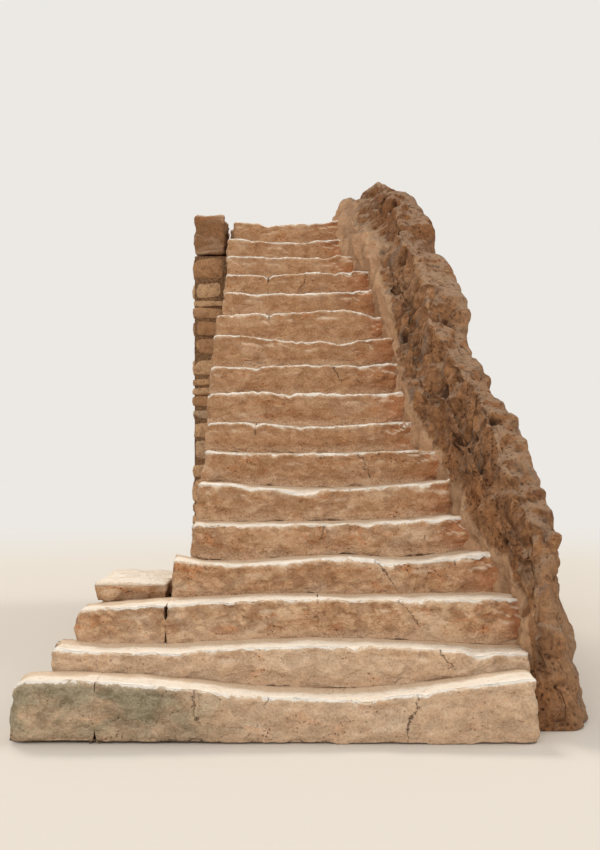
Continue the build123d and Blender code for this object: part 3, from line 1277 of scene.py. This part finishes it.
        # deep: where the hewn relief is low, painted darker as shade
        held["deep"] = weight * (1 - smooth(hewn + small, -0.50, 0.40)) * (1 - held["wear"])
        self.split(p, up, held)
        relief = self.relief(p, weight * (1 + held["bank"]) * (hewn - 0.22), held, noise)
        relief += self.tread_relief * (1 - weight) * held["wear"] * noise.cloud(p, 0.09, 2)
        flaked = held["bank"] * weight * smooth(up, 0.45, 0.75)
        relief -= self.flaked(p, flaked, noise)
        shell = self.swayed(shell.displace(relief), noise)
        # ledge: upward-facing facets, painted paler: partly settled grit, partly painted light from above
        held["ledge"] = smooth(shell.normals()[:, 2], 0.30, 0.75) * (1 - held["wear"])
        return shell

    def flaked(self, p: Array, share: Array, noise: Noise) -> Array:
        """Layers that have flaked off, each deepest at its foot.

        Args:
            p: The points.
            share: How much of the flaking shows at each point.
            noise: The step's own noise.

        Returns:
            The depth at each point.
        """
        layers = p[:, 2] / self.layer + 0.8 * noise.cloud(p * (1, 1, 0.3), 0.10, 2)
        patches = smooth(noise.cloud(p, 0.15, 2), -0.2, 0.4)
        return self.flake * share * patches * (1 - layers % 1)

    def relief(self, p: Array, hewn: Array, held: dict[str, Array], noise: Noise) -> Array:
        """The relief of the face: hewn planes and the belly, less chips, crumbs,
        the groove below the nosing, the hollow of the tread and the washed foot
        of the lowest step.

        Args:
            p: The points.
            hewn: How far the hewn planes stand out.
            held: The marks. Those that only the relief reads are taken out.
            noise: The step's own noise.

        Returns:
            The relief at each point.
        """
        gaps = smooth(noise.cloud(p * (1, 1, 0), 0.11, 2), -0.35, 0.45)
        relief = self.face_relief * hewn
        relief += self.belly * held.pop("belly") - held.pop("chip") - held.pop("dish")
        relief -= self.lip * held.pop("lip") * gaps
        relief -= self.crumb * held.pop("crumb") * np.clip(noise.cloud(p, 0.028, 2), 0, 1)
        if self.number == 1:
            relief -= self.washed * (1 - smooth(p[:, 2], 0.0, 0.045)) * (0.4 + 0.6 * held["lichen"])
        return relief

    def split(self, p: Array, up: Array, held: dict[str, Array]) -> None:
        """Marks how far each point lies to the right of the nearest crack, and
        whether it is near one.

        Args:
            p: The points.
            up: How high they lie in the face, from 0 to 1, and 0 off the face.
            held: The marks, which get two more.
        """
        away, near, top = np.ones(len(p)), np.zeros(len(p)), p[:, 2].max()
        for crack in SPLITS.get(self.number, ()):
            apart = p[:, 0] - crack.x - SHIFT_X - crack.lean * (top - p[:, 2])
            closer = np.abs(apart) < np.abs(away)
            away = np.where(closer, apart, away)
            near = np.where(closer, smooth(up, 0.95 - crack.reach, 1.10 - crack.reach), near)
        held["split"] = np.clip(away, -0.08, 0.08)
        held["near_split"] = near * (np.abs(away) < 0.05) * (1 - held["wear"])

    def swayed(self, shell: Shell, noise: Noise) -> Shell:
        """Pulls the free ends in, more or less with height, so that they don't
        stand in one plane.

        Args:
            shell: The stone, which is changed.
            noise: The step's own noise.

        Returns:
            The same stone.
        """
        x = shell.points[:, 0]
        pull = self.sway * np.clip(0.5 + 0.5 * noise.cloud(shell.points * (0, 1, 1), 0.16, 2), 0, 1)
        for end, inward, edge in ((self.left, 1, x.min()), (self.right, -1, x.max())):
            if end.value > End.JOINT.value:
                x += inward * pull * (1 - smooth(inward * (x - edge), 0.0, 0.20))
        return shell


@dataclass
class Flight:
    """All the steps.

    Attributes:
        finish: The finish of their stones.
        beside_bank_front: The step whose right end stands beside the front of
            the bank and doesn't reach into it.
    """

    finish: LimestoneFinish = LimestoneFinish()
    beside_bank_front: int = 2

    def ends(self, step: int, place: int, count: int) -> tuple[End, End]:
        """How a stone ends.

        Args:
            step: Its step, from 1. The first lies in the open.
            place: Its place in the step, from 0 on the left.
            count: How many stones the step has.

        Returns:
            Its left and its right end.
        """
        left, right = (End.BOULDER, End.FREE) if step == 1 else (End.FREE, End.BURIED)
        if step == self.beside_bank_front:
            right = End.JOINT
        return (End.JOINT if place else left), (right if place == count - 1 else End.JOINT)

    def build(self) -> None:
        """Builds every stone and dresses it."""
        material = self.finish.material()
        for step in range(1, STEP_COUNT + 1):
            stones = stones_of(step)
            for place, node in enumerate(stones):
                stone = StepStone(node, *self.ends(step, place, len(stones)))
                stone.build().show(f"{node}_stone", material, "worn_limestone", node)


def nosing_line() -> Array:
    """Y and Z of the nosing of every step at its right end."""
    boxes = [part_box(stones_of(step)[-1]) for step in range(1, STEP_COUNT + 1)]
    return np.array([(low.y, high.z) for low, high in boxes])


@dataclass
class SlabStone:
    """A plain block of stone with worn edges: a slab, sill or kerb.

    Attributes:
        node: The stone's node.
        rounding: Radius of its edges.
        relief: Depth of its hewn faces.
        worn_top: How far feet have worn its top, from 0 to 1.
        gap: How far it stays inside the solid.
        cell: About how far apart its points are along X and up its sides.
        cell_across: About how far apart they are across its top.
    """

    node: str
    rounding: float = 0.026
    relief: float = 0.019
    worn_top: float = 0.9
    gap: float = 0.002
    cell: float = 0.014
    cell_across: float = 0.016

    def build(self) -> Shell:
        """Builds the block: a rounded section in Y and Z, carried along X.

        Returns:
            A closed shell with its marks.
        """
        low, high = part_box(self.node)
        noise, radius = Noise(seed(self.node)), self.rounding
        x = rounded_spacing(low.x + self.gap, high.x - self.gap, self.cell, radius, radius)
        worn = worn_in(x, radius, radius) + self.gap
        front, back, bottom, top = low.y + worn, high.y - worn, low.z + worn, high.z - worn
        rise = Run(int((high.z - low.z) / self.cell) + 2, 1.0, radius)
        across = Run(int((high.y - low.y) / self.cell_across) + 2, 1.0, radius)
        corners = pairs((front, bottom), (front, top), (back, top), (back, bottom))
        outline, _ = section(corners, [rise, across, rise, Run(4, 1.0, radius)])
        rings = carried(x, outline, 0)
        z = rings[..., 2]
        marks = {
            "wear": smooth(z, high.z - 0.035, high.z - 0.012) * self.worn_top,
            # rim and nose give the top edge its bright rim: worn stone and, in part, a painted highlight
            "rim": np.clip(1 - (high.z - z) / 0.08, 0, 1),
            "nose": np.full_like(z, self.worn_top * 0.6),
            "back": np.full_like(z, 0.40),
            "shade": np.full_like(z, 0.5),
        }
        shell = closed_tube(rings, marks, 6)
        p = shell.points
        hewn = 0.6 * noise.cloud(p, 0.22, 2) + 0.8 * noise.facets(p, 0.13, 8.0)
        hewn += 0.3 * noise.cloud(p, 0.04, 2)
        # deep: where the hewn relief is low, painted darker as shade
        shell.marks["deep"] = 1 - smooth(hewn, -0.20, 0.25)
        return shell.displace(self.relief * (1 - 0.5 * shell.marks["wear"]) * (hewn - 0.75))


@dataclass(frozen=True)
class BankLines:
    """The corners of the rock bank's section: where its face over the steps
    starts to lean, a ledge and a groove in that face, its upper edge, the
    shoulder of its top, the waist of its outer side and its outer foot.

    Attributes:
        y: Where the solid was cut.
        lines: The seven corners at each cut, as corner, cut and X, Z.
    """

    y: Array
    lines: Array

    @classmethod
    def read(cls, node: str, count: int) -> "BankLines":
        """Cuts the solid's edges by even planes across Y, and picks each corner
        among the points of a cut.

        Args:
            node: The node of the bank.
            count: How many planes cut it.

        Returns:
            The lines at those planes.
        """
        points = node_points(node)
        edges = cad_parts[node].data.edges
        ends = np.empty(len(edges) * 2, np.int32)
        edges.foreach_get("vertices", ends)
        a, b = points[ends[0::2]], points[ends[1::2]]
        across = np.abs(b[:, 1] - a[:, 1]) > 1e-6
        a, b = a[across], b[across]
        y = np.linspace(points[:, 1].min() + 0.001, points[:, 1].max() - 0.001, count)
        part = (y[:, None] - a[:, 1]) / (b[:, 1] - a[:, 1])
        cut = ((part >= 0) & (part <= 1))[..., None]
        found = np.where(cut, a[:, ::2] + part[..., None] * (b[:, ::2] - a[:, ::2]), np.nan)
        return cls(y, cls.corners(found))

    @staticmethod
    def corners(found: Array) -> Array:
        """The corners of each cut. The lean is the highest point over the foot,
        and the edge the highest of all. Ledge and groove lie furthest to the
        left and to the right of the line between those two. The shoulder lies
        furthest out from the line between edge and outer foot, and the waist
        at half its height.

        Args:
            found: The points of the cuts, as plane, point and X, Z.

        Returns:
            Lean, ledge, groove, edge, shoulder, waist and outer foot.
        """
        x, z = found[..., 0], found[..., 1]

        def pick(score: Array) -> Array:
            """The point of each cut with the highest score."""
            return found[np.arange(len(found)), np.nanargmax(score, 1)]

        def beyond(start: Array, end: Array) -> Array:
            """How far each point lies to the right of a line, looking along it."""
            way = (end - start) / np.linalg.norm(end - start, axis=1)[:, None]
            return (x - start[:, :1]) * way[:, 1:] - (z - start[:, 1:]) * way[:, :1]

        foot, far = np.nanmin(x, 1), np.nanmax(x, 1)
        lean, edge = pick(np.where(x < foot[:, None] + 0.003, z, np.nan)), pick(z)
        outer = np.stack([far, np.zeros_like(far)], -1)
        shoulder = pick(-beyond(edge, outer))
        waist = pick(np.where(x > edge[:, :1], -np.abs(z - shoulder[:, 1:] / 2), np.nan))
        on_face = (z > lean[:, 1:] - 1e-4) & (x < edge[:, :1] + 1e-4)
        away = np.where(on_face, beyond(lean, edge), np.nan)
        places = []
        for sign, share in ((-1, 0.4), (1, 0.6)):
            is_clear = np.nanmax(sign * away, 1)[:, None] > 0.004
            places.append(np.where(is_clear, pick(sign * away), lean + share * (edge - lean)))
        return np.stack([lean, *places, edge, shoulder, waist, outer])

    def at(self, y: Array, ease: int) -> Array:
        """The lines at other places. All but the first line's X, where the steps
        end, are smoothed by a running mean over 2 * ease + 1 cuts.

        Args:
            y: The places.
            ease: How far the mean reaches, in cuts.

        Returns:
            The lines, as corner, place and X, Z.
        """
        mean = np.ones(2 * ease + 1) / (2 * ease + 1)
        padded = np.pad(self.lines, ((0, 0), (ease, ease), (0, 0)), "edge")
        eased = np.apply_along_axis(np.convolve, 1, padded, mean, "valid")
        eased[0, :, 0] = self.lines[0, :, 0]
        return np.apply_along_axis(lambda line: np.interp(y, self.y, line), 1, eased)


@dataclass
class RockBank:
    """The hewn rock on the right that the steps run into: a section in X and Z,
    carried along Y, broken into planes, with hollows, a ragged crest and a
    strip above the steps that people have worn.

    Attributes:
        node: The bank's node.
        finish: Its finish.
        cuts: How many planes cut the solid to read its corners.
        ease: Over how many cuts on either side the corners are smoothed.
        column: How far apart its sections are.
        end_radius: Radius of its ends' edges.
        gap: How far its ends stay inside the solid's.
        hidden: How far the face reaches down behind the ends of the steps.
        inset: How far the surface stays inside the solid before the relief.
        sunk: The furthest that the relief goes in.
        raised: The furthest that it comes out.
        swell: Depth of the broad swells.
        plane: Depth of the large broken planes.
        splinter: Depth of the small ones.
        lump: Depth of the lumps.
        grain: Depth of the grains.
        fold: Depth of the folds on the face over the steps.
        block: Depth of the blocks on the outer side.
        block_drift: Depth of the drift that bends them.
        block_out: How far that side stands out.
        ridge: Height of the ridge along the top of the worn strip.
        pit: Depth of the hollows.
    """

    node: str = "right_rock_bank"
    finish: RockFinish = RockFinish()
    cuts: int = 330
    ease: int = 5
    column: float = 0.0150
    end_radius: float = 0.07
    gap: float = 0.002
    hidden: float = 0.52
    inset: float = 0.026
    sunk: float = 0.075
    raised: float = 0.045
    swell: float = 0.020
    plane: float = 0.028
    splinter: float = 0.020
    lump: float = 0.026
    grain: float = 0.008
    fold: float = 0.015
    block: float = 0.050
    block_drift: float = 0.014
    block_out: float = 0.018
    ridge: float = 0.014
    pit: float = 0.050

    def build(self) -> None:
        """Builds the bank and dresses it."""
        low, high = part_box(self.node)
        radius = self.end_radius
        y = rounded_spacing(low.y + self.gap, high.y - self.gap, self.column, radius, radius)
        lines = BankLines.read(self.node, self.cuts).at(y, self.ease)
        lean, edge = lines[0], lines[3]
        worn = worn_in(y, radius, radius)[:, None]
        foot = lean[:, :1] + worn * 0.3
        corners = [np.hstack([foot, z]) for z in (foot * 0, lean[:, 1:] - self.hidden, lean[:, 1:] - worn)]
        down, inward = (0, 1), (1, 0)
        ways = (down, down, down, (1, 1), inward, inward)
        corners += [line - worn * way for line, way in zip(lines[1:], ways)]
        # Up the foot and the face over the steps, over the top, and down again
        face = Run(9, 1.0, 0.05)
        runs = [Run(3), Run(34), face, face, Run(16, 1.0, 0.05), Run(14, 1.0, 0.05)]
        runs += [Run(36, 1.0, 0.07), Run(36, 1.0, 0.10), Run(4, 0.0, 0.03)]
        outline, rough = section(np.stack(corners, 1), runs)
        rings = carried(y, outline, 1)
        marks = {"rough": np.broadcast_to(rough, rings.shape[:2])}
        shell = self.weathered(closed_tube(rings, marks, 24), y, lean[:, 0], edge)
        shell.show("rock_bank", self.finish.material(), "bedrock", self.node)

    def weathered(self, shell: Shell, y: Array, foot: Array, edge: Array) -> Shell:
        """Adds the marks and moves the surface along its normals: the broken
        relief and a ridge along the top of the worn strip, less the hollows,
        held between two depths. The strip goes up to a wavy line over the
        nosings.

        Args:
            shell: The plain surface.
            y: Where the lines are known.
            foot: X of the foot of the face over the steps.
            edge: X and Z of the upper edge of that face.

        Returns:
            The rough surface.
        """
        p, noise = shell.points, Noise(57)
        foot_x, edge_x, edge_z = (np.interp(p[:, 1], y, line) for line in (foot, *edge.T))
        above = p[:, 2] - np.interp(p[:, 1], *nosing_line().T)
        inner = 1 - smooth(p[:, 0] - foot_x, 0.10, 0.22)
        inner *= smooth(p[:, 1] - y[0], 0.0, 0.10) * (1 - smooth(p[:, 1] - y[-1], -0.10, 0.0))
        outside = smooth(p[:, 0] - edge_x, 0.10, 0.30)
        strip = 0.05 + 0.19 * smooth(p[:, 1], -1.6, 1.2) + 0.10 * noise.cloud(p * (0, 1, 0), 0.42, 3)
        worn = inner * (1 - smooth(above, strip - 0.04, strip + 0.05))
        lumps = np.abs(noise.cloud(p * (1, 1, 0.8), 0.15, 3))
        folds = noise.cloud(p * (1, 1, 0.4) + 1.7, 0.13, 3)
        deep, strength = self.hollows(p, noise, outside, worn)
        deep *= shell.marks.pop("rough") * smooth(p[:, 2], 0.02, 0.20)
        deep = np.maximum(deep, 0.3 * inner * (1 - smooth(folds, -0.70, 0.10)))
        relief = self.broken(p, noise, lumps, inner * self.fold * folds, outside)
        relief += (1 - 0.5 * inner) * self.plane * noise.facets(p * (1, 1, 0.75), 0.33)
        relief += inner * self.grain * noise.cloud(p, 0.035, 1)
        relief += inner * self.ridge * bell(above - strip, 0.05)
        relief -= self.inset * (1 - 0.6 * worn) + self.pit * deep * strength
        crest = 0.8 * bell(np.hypot(p[:, 0] - edge_x, p[:, 2] - edge_z), 0.07)
        shell.marks.update(
            # hollow: hollows, low folds and creases between lumps, painted dark as shade
            hollow=np.maximum(deep, (1 - 0.6 * worn) * 0.55 * (1 - smooth(lumps, 0.0, 0.09))),
            worn=worn,
            outside=outside,
            # edge: the upper edge and the top of the worn strip, painted pale as a highlight
            edge=np.maximum(crest, inner * bell(above - strip, 0.035)),
        )
        relief = np.clip(relief, -self.sunk, self.raised) * smooth(p[:, 2], -0.001, 0.020)
        shell.displace(relief)
        # ledge: upward-facing rock, painted paler: partly settled grit, partly painted light from above
        shell.marks["ledge"] = smooth(shell.normals()[:, 2], 0.35, 0.85)
        return shell

    @staticmethod
    def hollows(p: Array, noise: Noise, outside: Array, worn: Array) -> tuple[Array, Array]:
        """Hollows round some of the scattered places: fewer on the outer side,
        and fainter in the worn strip.

        Args:
            p: The points.
            noise: The bank's own noise.
            outside: 1 for points on the outer side and 0 elsewhere.
            worn: 1 for points in the worn strip and 0 elsewhere.

        Returns:
            How far each point lies in a hollow, from 0 to 1, and how deep that
            hollow is, as a share of the deepest.
        """
        near, owner = noise.cells(p * (1, 1, 0.8), 0.19)
        near += 0.22 * noise.cloud(p, 0.07, 3)
        is_hollow = owner > 0.70 + 0.22 * outside
        inside = is_hollow * (1 - smooth(near, 0.02, 0.42)) * (1 - 0.7 * worn)
        return inside, np.clip(owner * 2 - 0.6, 0.3, 1)

    def broken(self, p: Array, noise: Noise, lumps: Array, folds: Array, outside: Array) -> Array:
        """Broad swells, small broken planes, lumps, grains and folds, and on the
        outer side large blocks.

        Args:
            p: The points.
            noise: The bank's own noise.
            lumps: How high each point lies on a lump.
            folds: The relief of the folds.
            outside: 1 for points on the outer side and 0 elsewhere.

        Returns:
            The relief at each point.
        """
        blocks = self.block * noise.facets(p * (0.55, 0.55, 1.0) + 5.3, 0.42, 18.0) + self.block_out
        blocks += self.block_drift * noise.cloud(p * (1, 1, 0.3), 0.24, 2)
        relief = self.swell * noise.cloud(p, 0.70, 3) + self.grain * noise.cloud(p, 0.05, 2)
        relief += self.splinter * noise.facets(p + 3.1, 0.12, 9.0) + self.lump * (lumps - 0.3)
        return relief + outside * blocks + folds


class Side(Enum):
    """The way the dressed face of a wall looks, by the axis that its courses
    run along."""

    LEFT = 1
    BACK = 0


class Cut(Enum):
    """How a wall that isn't one plain block is read: by layers in height, or by
    strips along Y. The value is the axis across the cuts."""

    LAYERS = 2
    STRIPS = 1


def crate(counts: Array) -> tuple[Array, Array]:
    """The surface of a block divided along X, Y and Z.

    Args:
        counts: The divisions along each axis.

    Returns:
        The points in whole numbers, each once, and the faces of four corners.
    """
    faces = []
    for axis in range(3):
        b, c = (axis + 1) % 3, (axis + 2) % 3
        u, v = np.meshgrid(np.arange(counts[b]), np.arange(counts[c]), indexing="ij")
        for side in (0, counts[axis]):
            corners = np.zeros(u.shape + (4, 3), int)
            corners[..., axis] = side
            corners[..., b] = u[..., None] + np.array((0, 1, 1, 0))
            corners[..., c] = v[..., None] + np.array((0, 0, 1, 1))
            faces.append((corners if side else corners[..., ::-1, :]).reshape(-1, 4, 3))
    flat = np.concatenate(faces).reshape(-1, 3)
    points, index = np.unique(flat, axis=0, return_inverse=True)
    return points, index.reshape(-1, 4)


@dataclass
class RubbleWall:
    """A wall of rubble: rows of rounded field stones over recessed mortar. Its
    stones stay just inside the faces of its node.

    Attributes:
        node: The wall's node.
        sides: The faces that show.
        cut: How its blocks are read from the solid.
        depth: How far the stones reach in from a face.
        course: About how high a course is.
        mortar_recess: How far the mortar lies behind the face.
        top_recess: How far it lies below the top of the wall.
        bed_overlap: How far a bed of it reaches into the one above.
        reach_right: How much further right the mortar goes, to close the joint
            with what stands there.
        mortar_cell: About how far apart the mortar's points are.
    """

    node: str
    sides: tuple[Side, ...] = (Side.LEFT,)
    cut: Cut = Cut.LAYERS
    depth: float = 0.20
    course: float = 0.135
    mortar_recess: float = 0.026
    top_recess: float = 0.014
    bed_overlap: float = 0.006
    reach_right: float = 0.0
    mortar_cell: float = 0.032

    def boxes(self) -> list[tuple[Array, Array]]:
        """The plain blocks that the node is made of. A layer between two levels
        is as wide as what reaches its upper one. A strip is as narrow and as low
        as its two ends at the left face allow.

        Returns:
            The lowest and the highest corner of each block.
        """
        points, axis = node_points(self.node), self.cut.value
        if self.cut is Cut.STRIPS:
            points = points[points[:, 0] < points[:, 0].min() + self.depth]
        levels = np.unique(np.round(points[:, axis], 3))
        blocks = []
        for start, end in zip(levels, levels[1:]):
            if self.cut is Cut.LAYERS:
                here = points[points[:, 2] > end - 0.002]
                low, high = here.min(0), here.max(0)
            else:
                ends = [points[np.abs(points[:, axis] - at) < 0.002] for at in (start, end)]
                low = np.max([e.min(0) for e in ends], 0)
                high = np.min([e.max(0) for e in ends], 0)
                high[0] = low[0] + self.depth
            low[axis], high[axis] = start, end
            blocks.append((low, high))
        return blocks

    def build(self, finish: bpy.types.Material) -> None:
        """Builds the wall and dresses it.

        Args:
            finish: Its material.
        """
        rng = np.random.default_rng(seed(self.node))
        shells = []
        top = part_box(self.node)[1].z
        for low, high in self.boxes():
            for side in self.sides:
                start, end = self.faced(side, low, high)
                shells.append(self.mortar(start, end, end[2] > top - 0.001))
                shells.append(self.stones(start, end, side.value, rng))
        Shell.joined(shells).show(f"{self.node}_rubble", finish, "rubble_masonry", self.node)

    def faced(self, side: Side, low: Array, high: Array) -> tuple[Array, Array]:
        """The corners of the part of a block behind one face: as deep as the
        wall's depth, and clear of the left face's part.

        Args:
            side: The face.
            low: The lowest corner of the block.
            high: Its highest corner.

        Returns:
            The lowest and the highest corner of that part.
        """
        start, end = low.copy(), high.copy()
        if side is Side.BACK:
            start[1] = max(start[1], end[1] - self.depth)
            start[0] += self.depth if Side.LEFT in self.sides else 0
        else:
            end[0] = min(end[0], start[0] + self.depth)
        return start, end

    def mortar(self, low: Array, high: Array, is_top: bool) -> Shell:
        """The bed of mortar behind the stones, as a block with an uneven face.

        Args:
            low: The lowest corner of the block of wall.
            high: Its highest corner.
            is_top: Whether nothing of the wall lies above it.

        Returns:
            The bed, which reaches a little into the one above it.
        """
        sunk = np.array((self.mortar_recess, self.mortar_recess, 0))
        start, end = low + sunk, high - sunk
        end[0] += self.reach_right
        end[2] += -self.top_recess if is_top else self.bed_overlap
        counts = np.maximum(((end - start) / self.mortar_cell).astype(int), 1)
        counts[np.argmin(end - start)] = 2
        grid, quads = crate(counts)
        points = start + grid / counts * (end - start)
        marks = {"shade": np.zeros(len(points)), "mortar": np.ones(len(points))}
        shell = Shell(points, quads, np.zeros((0, 3), int), marks).facing_out()
        return shell.displace(0.005 * Noise(5).cloud(points, 0.08, 3))

    def stones(self, low: Array, high: Array, along: int, rng: np.random.Generator) -> Shell:
        """Rows of stones that fill a block. A row is split into one or two
        courses at a time, and a course into stones of uneven length.

        Args:
            low: The lowest corner of the block.
            high: Its highest corner.
            along: The axis that the courses run along.
            rng: Draws the sizes.

        Returns:
            All the stones as one shell.
        """
        middles, halves = [], []
        for bottom, top in self.shared(low[2], high[2], self.course * 1.5, 0.25, rng):
            for start, end in self.shared(low[along], high[along], 0.75, 0.5, rng):
                height = (top - bottom) / rng.integers(1, 3)
                for lower, upper in self.shared(bottom, top, height, 0.35, rng):
                    for a, b in self.shared(start, end, (upper - lower) * 1.9, 0.6, rng):
                        middle, half = (low + high) / 2, (high - low) / 2
                        middle[along], half[along] = (a + b) / 2, (b - a) / 2
                        middle[2], half[2] = (lower + upper) / 2, (upper - lower) / 2
                        middles.append(middle)
                        halves.append(half)
        return self.shaped(np.array(middles), np.array(halves), along, rng)

    @staticmethod
    def shared(start: float, end: float, size: float, uneven: float, rng: np.random.Generator) -> Array:
        """Splits a stretch into uneven parts.

        Args:
            start: Where it starts.
            end: Where it ends.
            size: About how long a part is.
            uneven: By what share of itself a part may be longer or shorter.
            rng: Draws the parts.

        Returns:
            The start and the end of each part.
        """
        count = max(round((end - start) / size), 1)
        shares = 1 + rng.uniform(-uneven, uneven, count)
        marks = start + (end - start) * np.concatenate([[0], np.cumsum(shares) / shares.sum()])
        return np.stack([marks[:-1], marks[1:]], -1)

    def shaped(self, middles: Array, halves: Array, along: int, rng: np.random.Generator) -> Shell:
        """The stones as rounded, skewed blocks. A point of a block is divided by
        the fifth root of the sum of the fifth powers of its coordinates.

        Args:
            middles: The middle of each stone.
            halves: Half its size along each axis.
            along: The axis that the courses run along.
            rng: Draws the skew, the set back and the shade of each stone.

        Returns:
            All the stones as one shell.
        """
        counts = np.full(3, 4)
        counts[1 - along] = 3
        grid, quads = crate(counts)
        unit = grid / counts * 2 - 1
        unit = np.sign(unit) * np.abs(unit) ** 0.5
        unit = unit / ((np.abs(unit) ** 5).sum(1) ** (1 / 5))[:, None]
        count = len(middles)
        skew = rng.uniform(-0.13, 0.13, (count, 1, 2))
        joint, back = rng.uniform(0.002, 0.008, (count, 3)), rng.uniform(0.0, 0.012, count)
        joint[:, 1 - along] = back
        shape = np.broadcast_to(unit, (count,) + unit.shape).copy()
        shape[..., along] *= 1 + skew[..., 0] * unit[:, 2]
        shape[..., 2] *= 1 + skew[..., 1] * unit[:, along]
        points = (middles[:, None] + shape * (halves - joint)[:, None]).reshape(-1, 3)
        starts = np.arange(count)[:, None, None] * len(unit)
        shades = np.repeat(rng.uniform(0, 1, count), len(unit))
        marks = {"shade": shades, "mortar": np.zeros(len(points))}
        shell = Shell(points, (starts + quads).reshape(-1, 4), np.zeros((0, 3), int), marks)
        noise = Noise(9)
        drift = np.stack([noise.cloud(points + 7.0 * k, 0.30, 2) for k in range(3)], -1)
        shell.points = points + drift * (0.006, 0.006, 0.010)
        relief = 0.008 * noise.cloud(points, 0.09, 2) + 0.010 * noise.facets(points, 0.075, 7.0)
        return shell.facing_out().displace(relief - 0.003)


@dataclass
class Studio:
    """Camera, lamps, floor and background.

    Attributes:
        eye: Where the camera stands.
        tilt_up: How far it looks up, in degrees.
        lens: Its focal length in millimetres, for a sensor 36 mm wide.
        sky: Strength of the light from all round.
        sky_light: Colour of that light.
        background: Colour behind everything.
        floor: Colour of the floor.
        floor_half: Half the width of the floor.
        fade: Where the floor starts and ends to fade into the background.
        lamps: Name, turn, power, softness and colour of each lamp.
    """

    eye: Vector = (-0.040, -8.950, 1.488)
    tilt_up: float = 0.69
    lens: float = 52.94
    sky: float = 0.62
    sky_light: Colour = (1, 0.985, 0.96)
    background: Colour = tone(236, 233, 228)
    floor: Colour = tone(214, 208, 199)
    floor_half: float = 60.0
    fade: tuple[float, float] = (5.0, 14.0)
    lamps: tuple[tuple[str, Vector, float, float, Colour], ...] = (
        ("key_lamp", (-38, -18, 0), 1.20, 0.30, tone(255, 247, 235)),
        ("fill_lamp", (60, 0, -12), 1.30, 0.7, tone(255, 250, 244)),
        ("side_lamp", (50, 0, 100), 0.70, 0.5, tone(255, 248, 240)),
    )

    def build(self) -> None:
        """Sets up everything around the steps."""
        self.camera()
        self.world()
        for lamp in self.lamps:
            self.sun(*lamp)
        self.ground()
        bpy.context.scene.view_settings.view_transform = "Standard"

    def camera(self) -> None:
        """A camera at the eye, looking along Y and a little up."""
        data = bpy.data.cameras.new("camera")
        data.sensor_width, data.lens, data.clip_end = 36, self.lens, 200
        camera = placed("camera", data)
        camera.location = self.eye
        camera.rotation_euler = (math.radians(90 + self.tilt_up), 0, 0)
        bpy.context.scene.camera = camera

    def world(self) -> None:
        """Level light from all round, and a plain background for the eye."""
        world = bpy.data.worlds.new("world")
        bpy.context.scene.world = world
        world.use_nodes = True
        nodes, links = world.node_tree.nodes, world.node_tree.links
        nodes.clear()
        kinds = ("Background", "Background", "MixShader", "LightPath", "OutputWorld")
        light, back, mix, path, out = (nodes.new(f"ShaderNode{kind}") for kind in kinds)
        light.inputs["Color"].default_value = (*self.sky_light, 1)
        light.inputs["Strength"].default_value = self.sky
        back.inputs["Color"].default_value = (*self.background, 1)
        links.new(path.outputs["Is Camera Ray"], mix.inputs[0])
        links.new(light.outputs[0], mix.inputs[1])
        links.new(back.outputs[0], mix.inputs[2])
        links.new(mix.outputs[0], out.inputs["Surface"])

    def sun(self, name: str, turn: Vector, power: float, soft: float, colour: Colour) -> None:
        """Adds a soft distant lamp.

        Args:
            name: Its name.
            turn: Its turns from straight down, in degrees.
            power: Its power.
            soft: How wide it looks, in radians.
            colour: Its colour.
        """
        data = bpy.data.lights.new(name, "SUN")
        data.energy, data.angle, data.color = power, soft, colour
        placed(name, data).rotation_euler = [math.radians(a) for a in turn]

    def ground(self) -> None:
        """A wide pale floor that fades into the background far away."""
        mesh = bpy.data.meshes.new("floor")
        half = self.floor_half
        corners = [(-half, -half, 0), (half, -half, 0), (half, half, 0), (-half, half, 0)]
        mesh.from_pydata(corners, [], [(0, 1, 2, 3)])
        s = Sheet("floor")
        mesh.materials.append(s.finish(colour=self.floor, rough=0.95, specular=0.1))
        glow = s.node("Emission", {"Color": self.background})
        away = s.node("VectorMath", {0: s.place}, "Value", operation="LENGTH")
        mixed = s.node("MixShader", {0: s.window(away, *self.fade), 1: s.shader.outputs[0], 2: glow})
        s.put(s.tree.nodes["Material Output"].inputs["Surface"], mixed)
        placed("floor", mesh)


def main() -> None:
    """Builds the whole scene."""
    logging.basicConfig(level=logging.INFO, format="%(name)s: %(message)s")
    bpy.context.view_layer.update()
    Flight().build()
    pale = LimestoneFinish(name="kerb_limestone").material()
    for node in ("landing_left", "landing_right", "side_sill", "side_slab"):
        SlabStone(node).build().show(f"{node}_stone", pale, "kerb_limestone", node)
    # The kerbs: the step limestone made dark brown as it looks in shade, a painted-shade copy
    brown = LimestoneFinish("kerb_stone", tone(108, 77, 50), tone(76, 52, 33)).material()
    for node in ("kerb_front", "kerb_back"):
        kerb = SlabStone(node, rounding=0.036, relief=0.026, worn_top=0.25).build()
        kerb.show(f"{node}_stone", brown, "kerb_limestone", node)
    RockBank().build()
    rubble = RubbleFinish().material()
    walls = (
        RubbleWall("left_flank_wall"),
        RubbleWall("left_rubble_pier", depth=0.5, course=0.12, reach_right=0.06),
        RubbleWall("back_wall", (Side.BACK,)),
        RubbleWall("side_landing_base", (Side.LEFT, Side.BACK)),
        RubbleWall("lower_bed", cut=Cut.STRIPS),
    )
    for wall in walls:
        wall.build(rubble)
    # The fill under the steps stays as the solid has it and only gets a finish
    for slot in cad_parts["rubble_core"].material_slots:
        slot.material = rubble
    Studio().build()


if __name__ == "__main__":
    main()
